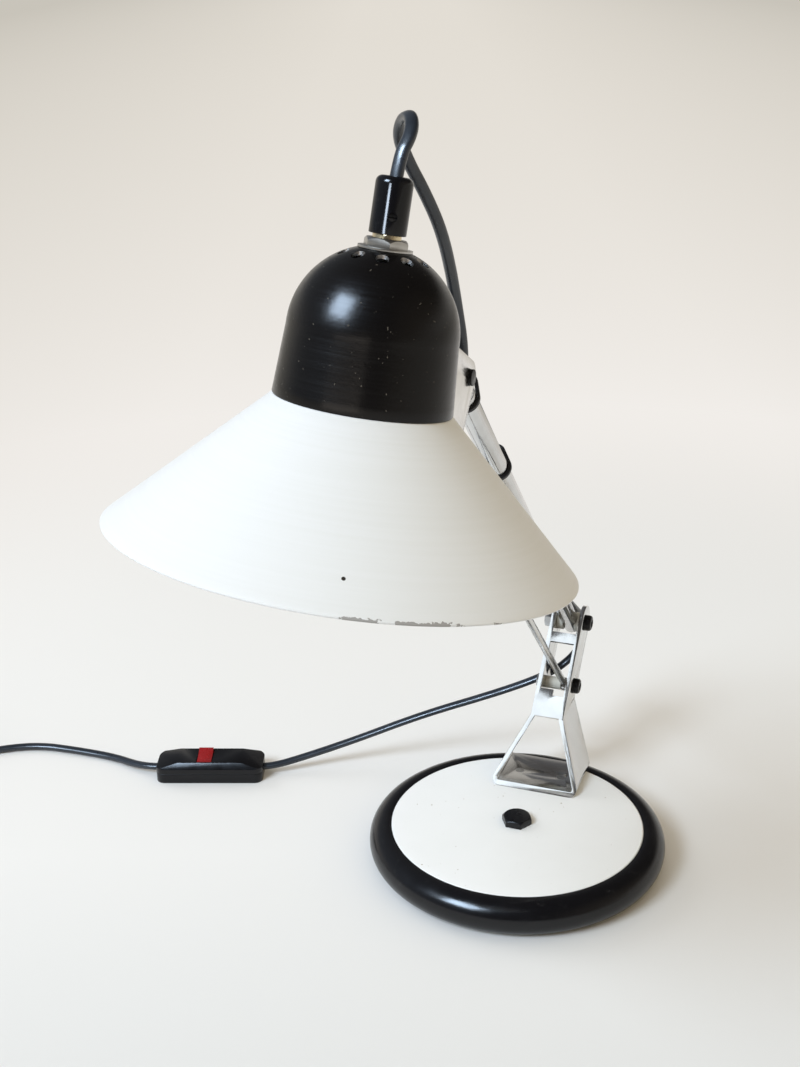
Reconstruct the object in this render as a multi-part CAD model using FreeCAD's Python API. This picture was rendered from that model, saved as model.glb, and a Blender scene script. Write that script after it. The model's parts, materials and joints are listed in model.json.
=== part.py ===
import FreeCAD, Part
import math
import os

from FreeCAD import Placement, Rotation
from FreeCAD import Vector as V

# A tabletop searchlight lamp: a weighted round base, a folded bracket, a
# parallelogram arm of one tube and one rod, and a tilting bell-shaped head.
# Millimetres. +X is the lamp's right, +Y its back, +Z up. The origin is the
# centre of the base's underside.

# Fits
THREAD_GAP = 0.02       # radial, screw in its nut or tapped hole
RUN_GAP = 0.05          # radial, pin in its bearing
SIDE_GAP = 0.1          # axial, beside a moving eye
SEAT_GAP = 0.05         # between two sheets that lie one in the other

# Base
BASE_RADIUS = 80.0
RING_SECTION = 9.5
RING_BOTTOM = 0.2
DISC_TOP = 19.0
RING_PAST_DISC = 11.8    # the ring's width seen from above
DISC_RADIUS = BASE_RADIUS - RING_PAST_DISC
DISC_SHEET = 1.5
DISC_SKIRT_BOTTOM = 12.0
DISC_EDGE = 0.8
RING_PAST_WEIGHT = 18.1
WEIGHT_RADIUS = BASE_RADIUS - RING_PAST_WEIGHT
PAD_THICKNESS = 2.0
CENTRE_BOLT_RADIUS = 4.0
CENTRE_HEAD_FLATS = 14.4
CENTRE_HEAD_HEIGHT = 4.0
CENTRE_NUT_FLATS = 13.0
CENTRE_NUT_HEIGHT = 6.5
WASHER_THICKNESS = 1.6
CENTRE_WASHER_RADIUS = 8.0
NUT_RECESS_RADIUS = 10.0
NUT_RECESS_DEPTH = 9.0

# Bracket
SHEET = 2.4
PLATE_FRONT = 32.6
PLATE_DEPTH = 32.0
PLATE_HALF_WIDTH = 26.4
EAR_HALF_WIDTH = 9.4
FOLD_HEIGHT = 33.0
FOLD_FRONT = 60.2
LEAN = 43.2             # degrees that the arm rises and the channel leans back
CHANNEL_DEPTH = 20.0
ARM_PIVOT_ALONG = 62.0
ROD_PIVOT_ALONG = 24.0
ROD_PIVOT_DEPTH = 12.67
BEND_RADIUS = 1.0
NECK_WEB_HEIGHT = 16.5
NOTCH_LEFT = 0.6
NOTCH_DEPTH = 3.6
UPPER_WEB_START = 45.0
UPPER_WEB_END = 51.0
PLATE_SCREW_RADIUS = 2.5
PLATE_SCREW_SPREAD = 24.0
PLATE_SCREW_HEAD_RADIUS = 4.6
PLATE_SCREW_HEAD_HEIGHT = 3.2
PLATE_SCREW_RECESS_RADIUS = 5.4
PLATE_SCREW_RECESS_DEPTH = 6.0
PIVOT_SCREW_RADIUS = 3.0
PIVOT_HEAD_RADIUS = 4.6
PIVOT_HEAD_HEIGHT = 3.6
PIVOT_NUT_FLATS = 10.0
PIVOT_NUT_HEIGHT = 5.0
ROD_SCREW_RADIUS = 2.0
ROD_HEAD_RADIUS = 4.4
ROD_HEAD_HEIGHT = 3.4
ROD_NUT_FLATS = 7.0
ROD_NUT_HEIGHT = 3.2

# Arm and rod
TUBE_RADIUS = 5.0
TUBE_WALL = 1.0
TUBE_TAIL = 7.0
ARM_REACH = 307.0       # from pivot to pivot
FITTING_REACH = 16.0    # from the tube's end to the far pivot
TUBE_REACH = ARM_REACH - FITTING_REACH
BUSH_RADIUS = 5.6
BUSH_INNER_END = 3.4
TONGUE_THICKNESS = 4.0
TONGUE_WIDTH = 9.0
PLUG_LENGTH = 16.0
COLLAR_LENGTH = 2.0
ROD_RADIUS = 2.0
ROD_X = 3.5
EYE_RADIUS = 4.0
EYE_THICKNESS = 3.0
OPEN_PIVOT_GAP = 0.15   # radial, the one loose pivot of the four
BAND_WIDTH = 2.2
BAND_THICKNESS = 1.7

# Head link
CHEEK_INSIDE = 5.8
CHEEK_SHEET = 1.5
LINK_TO_TILT = (-38.3, 20.7)      # y and z from the arm's pin to the tilt screw
LINK_BIG_RADIUS = 7.0
LINK_SMALL_RADIUS = 4.6
LINK_WEB_START = 10.0
LINK_WEB_END = 26.0
PIN_RADIUS = 2.0
PIN_HEAD_RADIUS = 3.4
PIN_HEAD_HEIGHT = 1.3
SPACER_WALL = 1.6

# Knuckle, between the link and the head
KNUCKLE_REACH = 57.0    # from the tilt screw to the head's axis
KNUCKLE_RADIUS = 6.5
KNUCKLE_HALF_WIDTH = 4.4
TILT_SCREW_RADIUS = 3.0
TILT_HEAD_RADIUS = 5.0
TILT_HEAD_HEIGHT = 3.4
TILT_NUT_FLATS = 10.0
TILT_NUT_HEIGHT = 5.0
NECK_RADIUS = 4.2
SHOULDER_RADIUS = 7.6
SHOULDER_LENGTH = 3.0
STUD_RADIUS = 4.0
STUD_NUT_FLATS = 13.0
STUD_NUT_HEIGHT = 4.0
STUD_WASHER_RADIUS = 7.0
STUD_WASHER_THICKNESS = 1.2
STUD_TIP = 1.0
SADDLE_RADIUS = 8.0
SADDLE_LENGTH = 3.6
INNER_SADDLE_LENGTH = 3.2

# Head, measured down its own axis from the seat of the top nut
HEAD_LEAN = 10.48
HEAD_ROLL = 5.89
STUD_DROP = 38.0
CAP_RADIUS = 30.0
CAP_SPHERE_DROP = 28.5
CAP_EDGE_RADIUS = 31.8
CAP_EDGE_DROP = 52.8
CAP_WALL = 1.2
SHADE_COLLAR_HEIGHT = 6.0
SHADE_TOP_RADIUS = 31.5
SHADE_RIM_RADIUS = 85.3
SHADE_RIM_DROP = 104.6
SHADE_WALL = 1.2
VENT_COUNT = 10
VENT_CIRCLE = 14.0
VENT_RADIUS = 2.25
NIPPLE_RADIUS = 5.0
NIPPLE_BORE = 3.5
NIPPLE_BELOW = 12.0
NIPPLE_ABOVE = 9.4
TOP_WASHER_THICKNESS = 1.0
TOP_WASHER_RADIUS = 9.5
TOP_NUT_FLATS = 14.0
TOP_NUT_HEIGHT = 3.0
GRIP_GAP = 1.3
GRIP_RADIUS = 6.5
GRIP_LENGTH = 19.3
GRIP_ROUNDING = 4.0
GRUB_RADIUS = 1.5
GRUB_DROP = 13.3         # below the grip's top
GRUB_TURN = 29.0         # degrees from the front towards the right
HOLDER_RADIUS = 12.5
HOLDER_TOP = 8.0
HOLDER_LENGTH = 36.0
HOLDER_WALL = 1.6
HOLDER_ROOF = 5.0
INSERT_LENGTH = 12.0
BULB_CAP_RADIUS = 7.0
BULB_CAP_LENGTH = 20.0
BULB_RADIUS = 22.5
BULB_DROP = 74.0
BULB_FLARE_RADIUS = 16.0
BULB_GLASS = 0.8

# Cable, a flat twin flex drawn as a round of its greater width
CABLE_RADIUS = 2.4
CABLE_GAP = 0.2          # between the tube and the cable beside it
CABLE_LIFT = TUBE_RADIUS + CABLE_RADIUS + CABLE_GAP
CABLE_SIDE_ANGLE = 14.0  # degrees that the cable lies round the tube to the left of its top
BAND_FROM_END = 4.5
BANDS_APART = 69.3
BAND_AT = (              # along the tube, and round it to the cable
    (TUBE_REACH - BAND_FROM_END - BANDS_APART, CABLE_SIDE_ANGLE),
    (TUBE_REACH - BAND_FROM_END, 0.0),
)

ARC_SHARE = 0.45         # of the shorter run beside a corner, taken by its arc
KNUCKLE_RUN = 5          # runs of the cable's route, counted from the head: behind the knuckle,
LINK_RUN = 8             # above the link,
ARM_RUN = 13             # straight along the tube,
BRACKET_RUN = 17         # behind the bracket's ears,
FREE_RUN = 20            # and where it leaves the bracket
ARM_RUN_START = 0.1      # shares of the straight run, where its own piece starts and ends
ARM_RUN_END = 0.95

# Switch on the cable
SWITCH_FROM = V(-164.9, 29.1, 0)
SWITCH_TO = V(-224.7, 8.4, 0)
SWITCH_WIDTH = 22.0
SWITCH_CORNER = 5.0
SWITCH_WALL = 1.5
SWITCH_SPLIT = 6.0
SWITCH_END_HEIGHT = 9.0
SWITCH_HEIGHT = 12.4
SWITCH_SLOPE = 13.0
SWITCH_SIDE_SLOPE = 2.5
SWITCH_CABLE_HEIGHT = 5.0
SWITCH_ENTRY = 4.0
ROCKER_LENGTH = 8.5
ROCKER_WIDTH = 14.6
ROCKER_GAP = 0.45
ROCKER_SHIFT = 3.0
ROCKER_TILT = 10.0
ROCKER_AXIS_DROP = 3.0
ROCKER_PIN_RADIUS = 1.0
ROCKER_PIN_REACH = 1.6
ROCKER_BEARING_HALF_WIDTH = 2.2
SWITCH_SCREW_RADIUS = 1.25
SWITCH_SCREW_PLACE = 19.0
SWITCH_BOSS_RADIUS = 2.6

# Spare cable and plug
COIL_RADIUS = 24.0
COIL_WIDTH = 16.0
COIL_HEIGHT = 13.0
PLUG_BODY_LENGTH = 34.0
PLUG_BODY_WIDTH = 26.0
PLUG_BODY_HEIGHT = 13.0
PLUG_PIN_RADIUS = 2.0
PLUG_PIN_SPREAD = 18.6
PLUG_PIN_LENGTH = 19.0
RELIEF_LENGTH = 24.0
RELIEF_RADIUS = 4.6


SWITCH_WAY = (SWITCH_FROM - SWITCH_TO).normalize()
SWITCH_LENGTH = (SWITCH_FROM - SWITCH_TO).Length

# Directions in the plane of the arm
LEAN_COS = math.cos(math.radians(LEAN))
LEAN_SIN = math.sin(math.radians(LEAN))
ARM_WAY = V(0, -LEAN_COS, LEAN_SIN)
CHANNEL_WAY = V(0, LEAN_SIN, LEAN_COS)
ACROSS = V(1, 0, 0)
UP = V(0, 0, 1)
EAR_INSIDE = EAR_HALF_WIDTH - SHEET
FOLD = V(0, FOLD_FRONT, DISC_TOP + FOLD_HEIGHT)


def in_channel(along, depth, x=0.0):
    """A point of the bracket's channel, measured from the front of its fold."""
    return FOLD + CHANNEL_WAY * along - ARM_WAY * depth + ACROSS * x


ARM_PIVOT = in_channel(ARM_PIVOT_ALONG, CHANNEL_DEPTH / 2)
ROD_PIVOT = in_channel(ROD_PIVOT_ALONG, ROD_PIVOT_DEPTH)
ARM_PIN = ARM_PIVOT + ARM_WAY * ARM_REACH
ROD_PIN = ARM_PIN + (ROD_PIVOT - ARM_PIVOT)
TILT_AXIS = ARM_PIN + V(0, *LINK_TO_TILT)

# The head's own frame: Z up its axis, Y back along the stud
STUD_WAY = V(0, math.cos(math.radians(HEAD_LEAN)), -math.sin(math.radians(HEAD_LEAN)))
HEAD_TURN = Rotation(ACROSS, -HEAD_LEAN).multiply(Rotation(V(0, 1, 0), HEAD_ROLL))
STUD_CENTRE = TILT_AXIS - STUD_WAY * KNUCKLE_REACH
HEAD_PLACE = Placement(STUD_CENTRE, HEAD_TURN).multiply(Placement(V(0, 0, STUD_DROP), Rotation()))


def in_arm(reach, lift=0.0, x=0.0):
    """A point beside the arm, measured from its pivot along and above the tube."""
    return ARM_PIVOT + ARM_WAY * reach + CHANNEL_WAY * lift + ACROSS * x


def in_head(x, y, drop):
    return HEAD_PLACE.multVec(V(x, y, -drop))


def save(node, shape):
    shape.exportStep("parts/" + node + ".step")


def group(shapes):
    return Part.makeCompound(shapes)


def bar(start, way, length, radius):
    return Part.makeCylinder(radius, length, start, way)


def tube(start, way, length, outer, inner):
    return bar(start, way, length, outer).cut(bar(start - way, way, length + 2, inner))


def prism(points, way):
    """A flat polygon pushed along a vector."""
    return Part.Face(Part.makePolygon(points + points[:1])).extrude(way)


def turned(profile):
    """A closed outline of (radius, height) corners turned about Z."""
    points = [V(radius, 0, height) for radius, height in profile]
    return Part.Face(Part.makePolygon(points + points[:1])).revolve(V(), UP, 360)


def hexagon(start, way, flats, height):
    """A hexagonal bar with chamfered corners on its far face."""
    placing = Placement(start, Rotation(UP, way))
    corner = flats / math.sqrt(3)
    corners = [
        V(corner * math.cos(math.radians(60 * n)), corner * math.sin(math.radians(60 * n)), 0)
        for n in range(6)
    ]
    blank = prism(corners, UP * height)
    limit = flats / 2 + height
    cone = Part.makeCone(limit, flats / 2 * 0.97, height)
    shape = blank.common(cone)
    shape.Placement = placing
    return shape


def nut(start, way, flats, height, bore):
    return hexagon(start, way, flats, height).cut(bar(start - way, way, height + 2, bore))


def domed_head(start, way, radius, height):
    """A button head with a socket, standing on a seat at start."""
    head = bar(start, way, height, radius)
    rim = [edge for edge in head.Edges if abs((edge.CenterOfMass - start).dot(way) - height) < 0.01]
    head = head.makeFillet(min(radius, height) * 0.45, rim)
    socket = hexagon(start + way * (height * 0.45), way, radius * 0.9, height)
    return head.cut(socket)


def pivot_screw(centre, radius, length_left, seat, head_radius, head_height):
    """A screw across X: its head rests on the right-hand seat."""
    start = centre + ACROSS * seat
    shank = bar(start, -ACROSS, seat + length_left, radius)
    return shank.fuse(domed_head(start, ACROSS, head_radius, head_height)).removeSplitter()


def ring_on(centre, left, right, outer, inner):
    """A ring about a pivot that runs along X from left to right."""
    return tube(centre + ACROSS * left, ACROSS, right - left, outer, inner)


def two_circle_prism(first, second, first_radius, second_radius, axis, length):
    """The plate that wraps two round bars: their discs and the straight sides."""
    apart = second - first
    way = V(apart).normalize()
    side = axis.cross(way)
    lean = math.acos((first_radius - second_radius) / apart.Length)
    reach = way * math.cos(lean)
    corners = [
        first + (reach + side * math.sin(lean)) * first_radius,
        second + (reach + side * math.sin(lean)) * second_radius,
        second + (reach - side * math.sin(lean)) * second_radius,
        first + (reach - side * math.sin(lean)) * first_radius,
    ]
    body = prism(corners, axis * length)
    body = body.fuse(bar(first, axis, length, first_radius))
    return body.fuse(bar(second, axis, length, second_radius)).removeSplitter()


# Base ---------------------------------------------------------------------


def base_ring():
    """The rubber ring round the base, with a flat inside and a seat for the disc."""
    centre = V(0, 0, RING_BOTTOM + RING_SECTION)
    body = Part.makeTorus(BASE_RADIUS - RING_SECTION, RING_SECTION, centre)
    body = body.cut(Part.makeCylinder(WEIGHT_RADIUS + SEAT_GAP, DISC_TOP * 2))
    seat = Part.makeCylinder(DISC_RADIUS + SEAT_GAP, DISC_TOP, V(0, 0, DISC_SKIRT_BOTTOM))
    return body.cut(seat)


def centre_hole(radius):
    return Part.makeCylinder(radius + RUN_GAP, DISC_TOP * 2, V(0, 0, -1))


def plate_screw_places():
    middle = PLATE_FRONT + PLATE_DEPTH / 2
    return [V(side * PLATE_SCREW_SPREAD / 2, middle, 0) for side in (-1, 1)]


def plate_screw_holes():
    return group([
        Part.makeCylinder(PLATE_SCREW_RADIUS + THREAD_GAP, DISC_TOP * 2, place)
        for place in plate_screw_places()
    ])


def base_disc():
    """The enamelled pan: a flat top and a short skirt."""
    skirt = DISC_TOP - DISC_SKIRT_BOTTOM
    pan = Part.makeCylinder(DISC_RADIUS, skirt, V(0, 0, DISC_SKIRT_BOTTOM))
    rim = [edge for edge in pan.Edges if edge.BoundBox.ZMin > DISC_TOP - 0.01]
    pan = pan.makeFillet(DISC_EDGE, rim)
    inside = Part.makeCylinder(DISC_RADIUS - DISC_SHEET, skirt, V(0, 0, DISC_SKIRT_BOTTOM - DISC_SHEET))
    return pan.cut(inside).cut(centre_hole(CENTRE_BOLT_RADIUS)).cut(plate_screw_holes())


def base_weight():
    """The cast iron weight, with recesses for the screws from below."""
    height = DISC_TOP - DISC_SHEET - PAD_THICKNESS
    weight = Part.makeCylinder(WEIGHT_RADIUS, height, V(0, 0, PAD_THICKNESS))
    weight = weight.cut(centre_hole(CENTRE_BOLT_RADIUS))
    weight = weight.cut(Part.makeCylinder(NUT_RECESS_RADIUS, NUT_RECESS_DEPTH, V(0, 0, PAD_THICKNESS)))
    for place in plate_screw_places():
        start = place + UP * PAD_THICKNESS
        weight = weight.cut(Part.makeCylinder(PLATE_SCREW_RADIUS + RUN_GAP, height, start))
        weight = weight.cut(Part.makeCylinder(PLATE_SCREW_RECESS_RADIUS, PLATE_SCREW_RECESS_DEPTH, start))
    return weight


def base_pad():
    return Part.makeCylinder(WEIGHT_RADIUS, PAD_THICKNESS)


def recess_roof():
    return V(0, 0, PAD_THICKNESS + NUT_RECESS_DEPTH)


def centre_bolt():
    tip = recess_roof().z - WASHER_THICKNESS - CENTRE_NUT_HEIGHT
    shank = Part.makeCylinder(CENTRE_BOLT_RADIUS, DISC_TOP - tip, V(0, 0, tip))
    head = hexagon(V(0, 0, DISC_TOP), UP, CENTRE_HEAD_FLATS, CENTRE_HEAD_HEIGHT)
    return shank.fuse(head).removeSplitter()


def centre_washer():
    return tube(recess_roof(), -UP, WASHER_THICKNESS, CENTRE_WASHER_RADIUS, CENTRE_BOLT_RADIUS + RUN_GAP)


def centre_nut():
    start = recess_roof() - UP * WASHER_THICKNESS
    return nut(start, -UP, CENTRE_NUT_FLATS, CENTRE_NUT_HEIGHT, CENTRE_BOLT_RADIUS + THREAD_GAP)


def plate_screws():
    screws = []
    for place in plate_screw_places():
        roof = place + UP * (PAD_THICKNESS + PLATE_SCREW_RECESS_DEPTH)
        shank = bar(roof, UP, DISC_TOP + SHEET - roof.z, PLATE_SCREW_RADIUS)
        head = domed_head(roof, -UP, PLATE_SCREW_HEAD_RADIUS, PLATE_SCREW_HEAD_HEIGHT)
        screws.append(shank.fuse(head).removeSplitter())
    return group(screws)


# Bracket ------------------------------------------------------------------


def sheet_section(inset):
    """The strip's outline across X, moved in by the sheet's thickness."""
    flare = math.atan2(PLATE_HALF_WIDTH - EAR_HALF_WIDTH, FOLD_HEIGHT)
    foot = PLATE_HALF_WIDTH - inset / math.tan((math.pi / 2 - flare) / 2)
    fold = FOLD_HEIGHT - inset * math.tan(flare / 2)
    ear = EAR_HALF_WIDTH - inset
    top = DISC_TOP + ARM_PIVOT.z
    right = [(foot, inset), (ear, fold), (ear, top)]
    outline = right + [(-x, z) for x, z in reversed(right)]
    return [V(x, 0, DISC_TOP + z) for x, z in outline]


def sheet_bar(inset, radius):
    """The section pushed back along Y, with its four bends rounded."""
    length = ARM_PIVOT.y + CHANNEL_DEPTH
    blank = prism(sheet_section(inset), V(0, length, 0))
    highest = DISC_TOP + FOLD_HEIGHT + 1
    bends = [
        edge for edge in blank.Edges
        if abs(edge.Length - length) < 0.01 and edge.CenterOfMass.z < highest
    ]
    return blank.makeFillet(radius, bends)


def side_outline():
    """The bracket seen from the side, pushed across X."""
    rear_fold = (CHANNEL_DEPTH * LEAN_SIN) / LEAN_COS
    half = CHANNEL_DEPTH / 2
    corners = [
        V(0, PLATE_FRONT, DISC_TOP),
        FOLD,
        ARM_PIVOT + ARM_WAY * half,
        ARM_PIVOT - ARM_WAY * half,
        in_channel(rear_fold, CHANNEL_DEPTH),
        V(0, PLATE_FRONT + PLATE_DEPTH, DISC_TOP),
    ]
    width = PLATE_HALF_WIDTH * 2 + 2
    start = -ACROSS * (width / 2)
    body = prism([corner + start for corner in corners], ACROSS * width)
    return body.fuse(bar(ARM_PIVOT + start, ACROSS, width, half))


def web(start, end):
    """A cross piece of sheet at the channel's front, between two places along it."""
    corners = [
        in_channel(start, 0, -EAR_INSIDE),
        in_channel(end, 0, -EAR_INSIDE),
        in_channel(end, SHEET, -EAR_INSIDE),
        in_channel(start, SHEET, -EAR_INSIDE),
    ]
    return prism(corners, ACROSS * (EAR_INSIDE * 2))


def neck_notch():
    """The rounded notch in the lower web that the rod passes through."""
    width = EAR_INSIDE - NOTCH_LEFT
    low = NECK_WEB_HEIGHT - NOTCH_DEPTH
    corners = [
        in_channel(low, -1, NOTCH_LEFT),
        in_channel(NECK_WEB_HEIGHT + 1, -1, NOTCH_LEFT),
        in_channel(NECK_WEB_HEIGHT + 1, SHEET + 1, NOTCH_LEFT),
        in_channel(low, SHEET + 1, NOTCH_LEFT),
    ]
    return prism(corners, ACROSS * (width + 1))


def bracket():
    strip = sheet_bar(0, BEND_RADIUS + SHEET).cut(sheet_bar(SHEET, BEND_RADIUS))
    body = strip.common(side_outline())
    body = body.fuse(web(0, NECK_WEB_HEIGHT).cut(neck_notch()))
    body = body.fuse(web(UPPER_WEB_START, UPPER_WEB_END)).removeSplitter()
    wide = PLATE_HALF_WIDTH * 2
    for pivot, radius in ((ARM_PIVOT, PIVOT_SCREW_RADIUS), (ROD_PIVOT, ROD_SCREW_RADIUS)):
        body = body.cut(bar(pivot - ACROSS * (wide / 2), ACROSS, wide, radius + RUN_GAP))
    return body.cut(plate_screw_holes())


def ear_nut(pivot, flats, height, radius):
    return nut(pivot - ACROSS * EAR_HALF_WIDTH, -ACROSS, flats, height, radius + THREAD_GAP)


def rod_pivot_spacers():
    """Sleeves on the rod's lower screw, left and right of the rod's eye."""
    outer = ROD_SCREW_RADIUS + SPACER_WALL
    inner = ROD_SCREW_RADIUS + RUN_GAP
    left_end = ROD_X - EYE_THICKNESS / 2 - SIDE_GAP
    right_start = ROD_X + EYE_THICKNESS / 2 + SIDE_GAP
    left = ring_on(ROD_PIVOT, -EAR_INSIDE, left_end, outer, inner)
    right = ring_on(ROD_PIVOT, right_start, EAR_INSIDE, outer, inner)
    return group([left, right])


# Arm ----------------------------------------------------------------------


def arm_tube():
    start = in_arm(-TUBE_TAIL)
    body = tube(start, ARM_WAY, TUBE_TAIL + TUBE_REACH, TUBE_RADIUS, TUBE_RADIUS - TUBE_WALL)
    return body.cut(bar(ARM_PIVOT - ACROSS * 20, ACROSS, 40, PIVOT_SCREW_RADIUS + RUN_GAP))


def arm_bushes():
    """Saddle bushes that fill the space between the tube and the ears."""
    around = bar(in_arm(-20), ARM_WAY, 40, TUBE_RADIUS + SEAT_GAP)
    bore = PIVOT_SCREW_RADIUS + RUN_GAP
    right = ring_on(ARM_PIVOT, BUSH_INNER_END, EAR_INSIDE - SIDE_GAP, BUSH_RADIUS, bore)
    left = ring_on(ARM_PIVOT, SIDE_GAP - EAR_INSIDE, -BUSH_INNER_END, BUSH_RADIUS, bore)
    return group([right.cut(around), left.cut(around)])


def arm_end_fitting():
    """The plug in the tube's upper end, with a flat tongue for the pin."""
    bore = TUBE_RADIUS - TUBE_WALL - SEAT_GAP
    plug = bar(in_arm(TUBE_REACH - PLUG_LENGTH), ARM_WAY, PLUG_LENGTH, bore)
    collar = bar(in_arm(TUBE_REACH), ARM_WAY, COLLAR_LENGTH, TUBE_RADIUS)
    half = TONGUE_THICKNESS / 2
    side = TONGUE_WIDTH / 2
    corners = [
        in_arm(TUBE_REACH, -side, -half), in_arm(ARM_REACH, -side, -half),
        in_arm(ARM_REACH, side, -half), in_arm(TUBE_REACH, side, -half),
    ]
    tongue = prism(corners, ACROSS * TONGUE_THICKNESS)
    tongue = tongue.fuse(bar(ARM_PIN - ACROSS * half, ACROSS, TONGUE_THICKNESS, side))
    body = plug.fuse(collar).fuse(tongue).removeSplitter()
    return body.cut(bar(ARM_PIN - ACROSS * 5, ACROSS, 10, PIN_RADIUS + RUN_GAP))


def on_tube(reach, angle):
    """The cable's centre beside the tube, turned to the left from the tube's top."""
    turn = math.radians(angle)
    return in_arm(reach, CABLE_LIFT * math.cos(turn), -CABLE_LIFT * math.sin(turn))


def cable_bands():
    """Two rubber bands that tie the cable to the tube."""
    bands = []
    for reach, angle in BAND_AT:
        start = in_arm(reach - BAND_WIDTH / 2)
        above = on_tube(reach - BAND_WIDTH / 2, angle)
        outer = two_circle_prism(start, above, TUBE_RADIUS + BAND_THICKNESS,
                                 CABLE_RADIUS + BAND_THICKNESS, ARM_WAY, BAND_WIDTH)
        inner = two_circle_prism(start - ARM_WAY, above - ARM_WAY, TUBE_RADIUS + SEAT_GAP,
                                 CABLE_RADIUS + SEAT_GAP, ARM_WAY, BAND_WIDTH + 2)
        bands.append(outer.cut(inner))
    return group(bands)


def arm_rod():
    """The thin rod below the tube, with an eye at each end."""
    shift = ACROSS * ROD_X
    clear = ROD_SCREW_RADIUS + SPACER_WALL + 2 * SIDE_GAP
    start = ROD_PIVOT + shift + ARM_WAY * clear
    body = bar(start, ARM_WAY, ARM_REACH - 2 * clear, ROD_RADIUS)
    left = ACROSS * (ROD_X - EYE_THICKNESS / 2)
    for eye in (ROD_PIVOT, ROD_PIN):
        body = body.fuse(bar(eye + left, ACROSS, EYE_THICKNESS, EYE_RADIUS))
    body = body.removeSplitter()
    lower = bar(ROD_PIVOT, ACROSS, 10, ROD_SCREW_RADIUS + RUN_GAP)
    upper = bar(ROD_PIN, ACROSS, 10, PIN_RADIUS + OPEN_PIVOT_GAP)
    return body.cut(lower).cut(upper)


# Head link and knuckle ----------------------------------------------------


def cheek(left):
    """One three-cornered cheek of the link, from its left face."""
    shift = ACROSS * left
    arm_pin, rod_pin, tilt = (point + shift for point in (ARM_PIN, ROD_PIN, TILT_AXIS))
    big, small = LINK_BIG_RADIUS, LINK_SMALL_RADIUS
    body = prism([arm_pin, rod_pin, tilt], ACROSS * CHEEK_SHEET)
    body = body.fuse(two_circle_prism(tilt, arm_pin, big, big, ACROSS, CHEEK_SHEET))
    body = body.fuse(two_circle_prism(arm_pin, rod_pin, big, small, ACROSS, CHEEK_SHEET))
    body = body.fuse(two_circle_prism(tilt, rod_pin, big, small, ACROSS, CHEEK_SHEET))
    return body.removeSplitter()


def head_link():
    """The link that stays level: two cheeks joined by a web along their top."""
    outside = CHEEK_INSIDE + CHEEK_SHEET
    body = cheek(CHEEK_INSIDE).fuse(cheek(-outside))
    way = (TILT_AXIS - ARM_PIN).normalize()
    above = way.cross(ACROSS)
    if above.z < 0:
        above = -above
    top = ARM_PIN + above * LINK_BIG_RADIUS - ACROSS * outside
    corners = [
        top + way * LINK_WEB_START,
        top + way * LINK_WEB_END,
        top + way * LINK_WEB_END - above * CHEEK_SHEET,
        top + way * LINK_WEB_START - above * CHEEK_SHEET,
    ]
    body = body.fuse(prism(corners, ACROSS * (outside * 2))).removeSplitter()
    for pin, radius in ((ARM_PIN, PIN_RADIUS), (ROD_PIN, PIN_RADIUS), (TILT_AXIS, TILT_SCREW_RADIUS)):
        body = body.cut(bar(pin - ACROSS * 20, ACROSS, 40, radius + THREAD_GAP))
    return body


def link_pins():
    """The two riveted pins, for the tube and for the rod."""
    outside = CHEEK_INSIDE + CHEEK_SHEET
    pins = []
    for pin in (ARM_PIN, ROD_PIN):
        body = bar(pin - ACROSS * outside, ACROSS, outside * 2, PIN_RADIUS)
        for side in (-1, 1):
            way = ACROSS * side
            body = body.fuse(bar(pin + way * outside, way, PIN_HEAD_HEIGHT, PIN_HEAD_RADIUS))
        pins.append(body.removeSplitter())
    return group(pins)


def link_spacers():
    """Sleeves that keep the tongue and the rod's eye in their places on the pins."""
    outer = PIN_RADIUS + SPACER_WALL
    inner = PIN_RADIUS + THREAD_GAP
    tongue = TONGUE_THICKNESS / 2 + SIDE_GAP
    eye_left = ROD_X - EYE_THICKNESS / 2 - SIDE_GAP
    eye_right = ROD_X + EYE_THICKNESS / 2 + SIDE_GAP
    return group([
        ring_on(ARM_PIN, -CHEEK_INSIDE, -tongue, outer, inner),
        ring_on(ARM_PIN, tongue, CHEEK_INSIDE, outer, inner),
        ring_on(ROD_PIN, -CHEEK_INSIDE, eye_left, outer, inner),
        ring_on(ROD_PIN, eye_right, CHEEK_INSIDE, outer, inner),
    ])


def tilt_screw():
    outside = CHEEK_INSIDE + CHEEK_SHEET
    return pivot_screw(TILT_AXIS, TILT_SCREW_RADIUS, outside + TILT_NUT_HEIGHT, outside,
                       TILT_HEAD_RADIUS, TILT_HEAD_HEIGHT)


def tilt_nut():
    start = TILT_AXIS - ACROSS * (CHEEK_INSIDE + CHEEK_SHEET)
    return nut(start, -ACROSS, TILT_NUT_FLATS, TILT_NUT_HEIGHT, TILT_SCREW_RADIUS + THREAD_GAP)


def tilt_washers():
    """Fibre washers that hold the knuckle by friction."""
    inner = TILT_SCREW_RADIUS + THREAD_GAP
    start = KNUCKLE_HALF_WIDTH + SEAT_GAP
    right = ring_on(TILT_AXIS, start, CHEEK_INSIDE, KNUCKLE_RADIUS, inner)
    left = ring_on(TILT_AXIS, -CHEEK_INSIDE, -start, KNUCKLE_RADIUS, inner)
    return group([left, right])


def cap_radius_at(drop):
    """The cap's outer radius where it flares from its dome to its edge."""
    share = (drop - CAP_SPHERE_DROP) / (CAP_EDGE_DROP - CAP_SPHERE_DROP)
    return CAP_RADIUS + share * (CAP_EDGE_RADIUS - CAP_RADIUS)


SADDLE_FACE = cap_radius_at(STUD_DROP) + SADDLE_LENGTH
INNER_FACE = cap_radius_at(STUD_DROP) - CAP_WALL - INNER_SADDLE_LENGTH


def on_stud(out):
    """A point of the stud's axis, measured back from the head's axis."""
    return STUD_CENTRE + STUD_WAY * out


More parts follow.
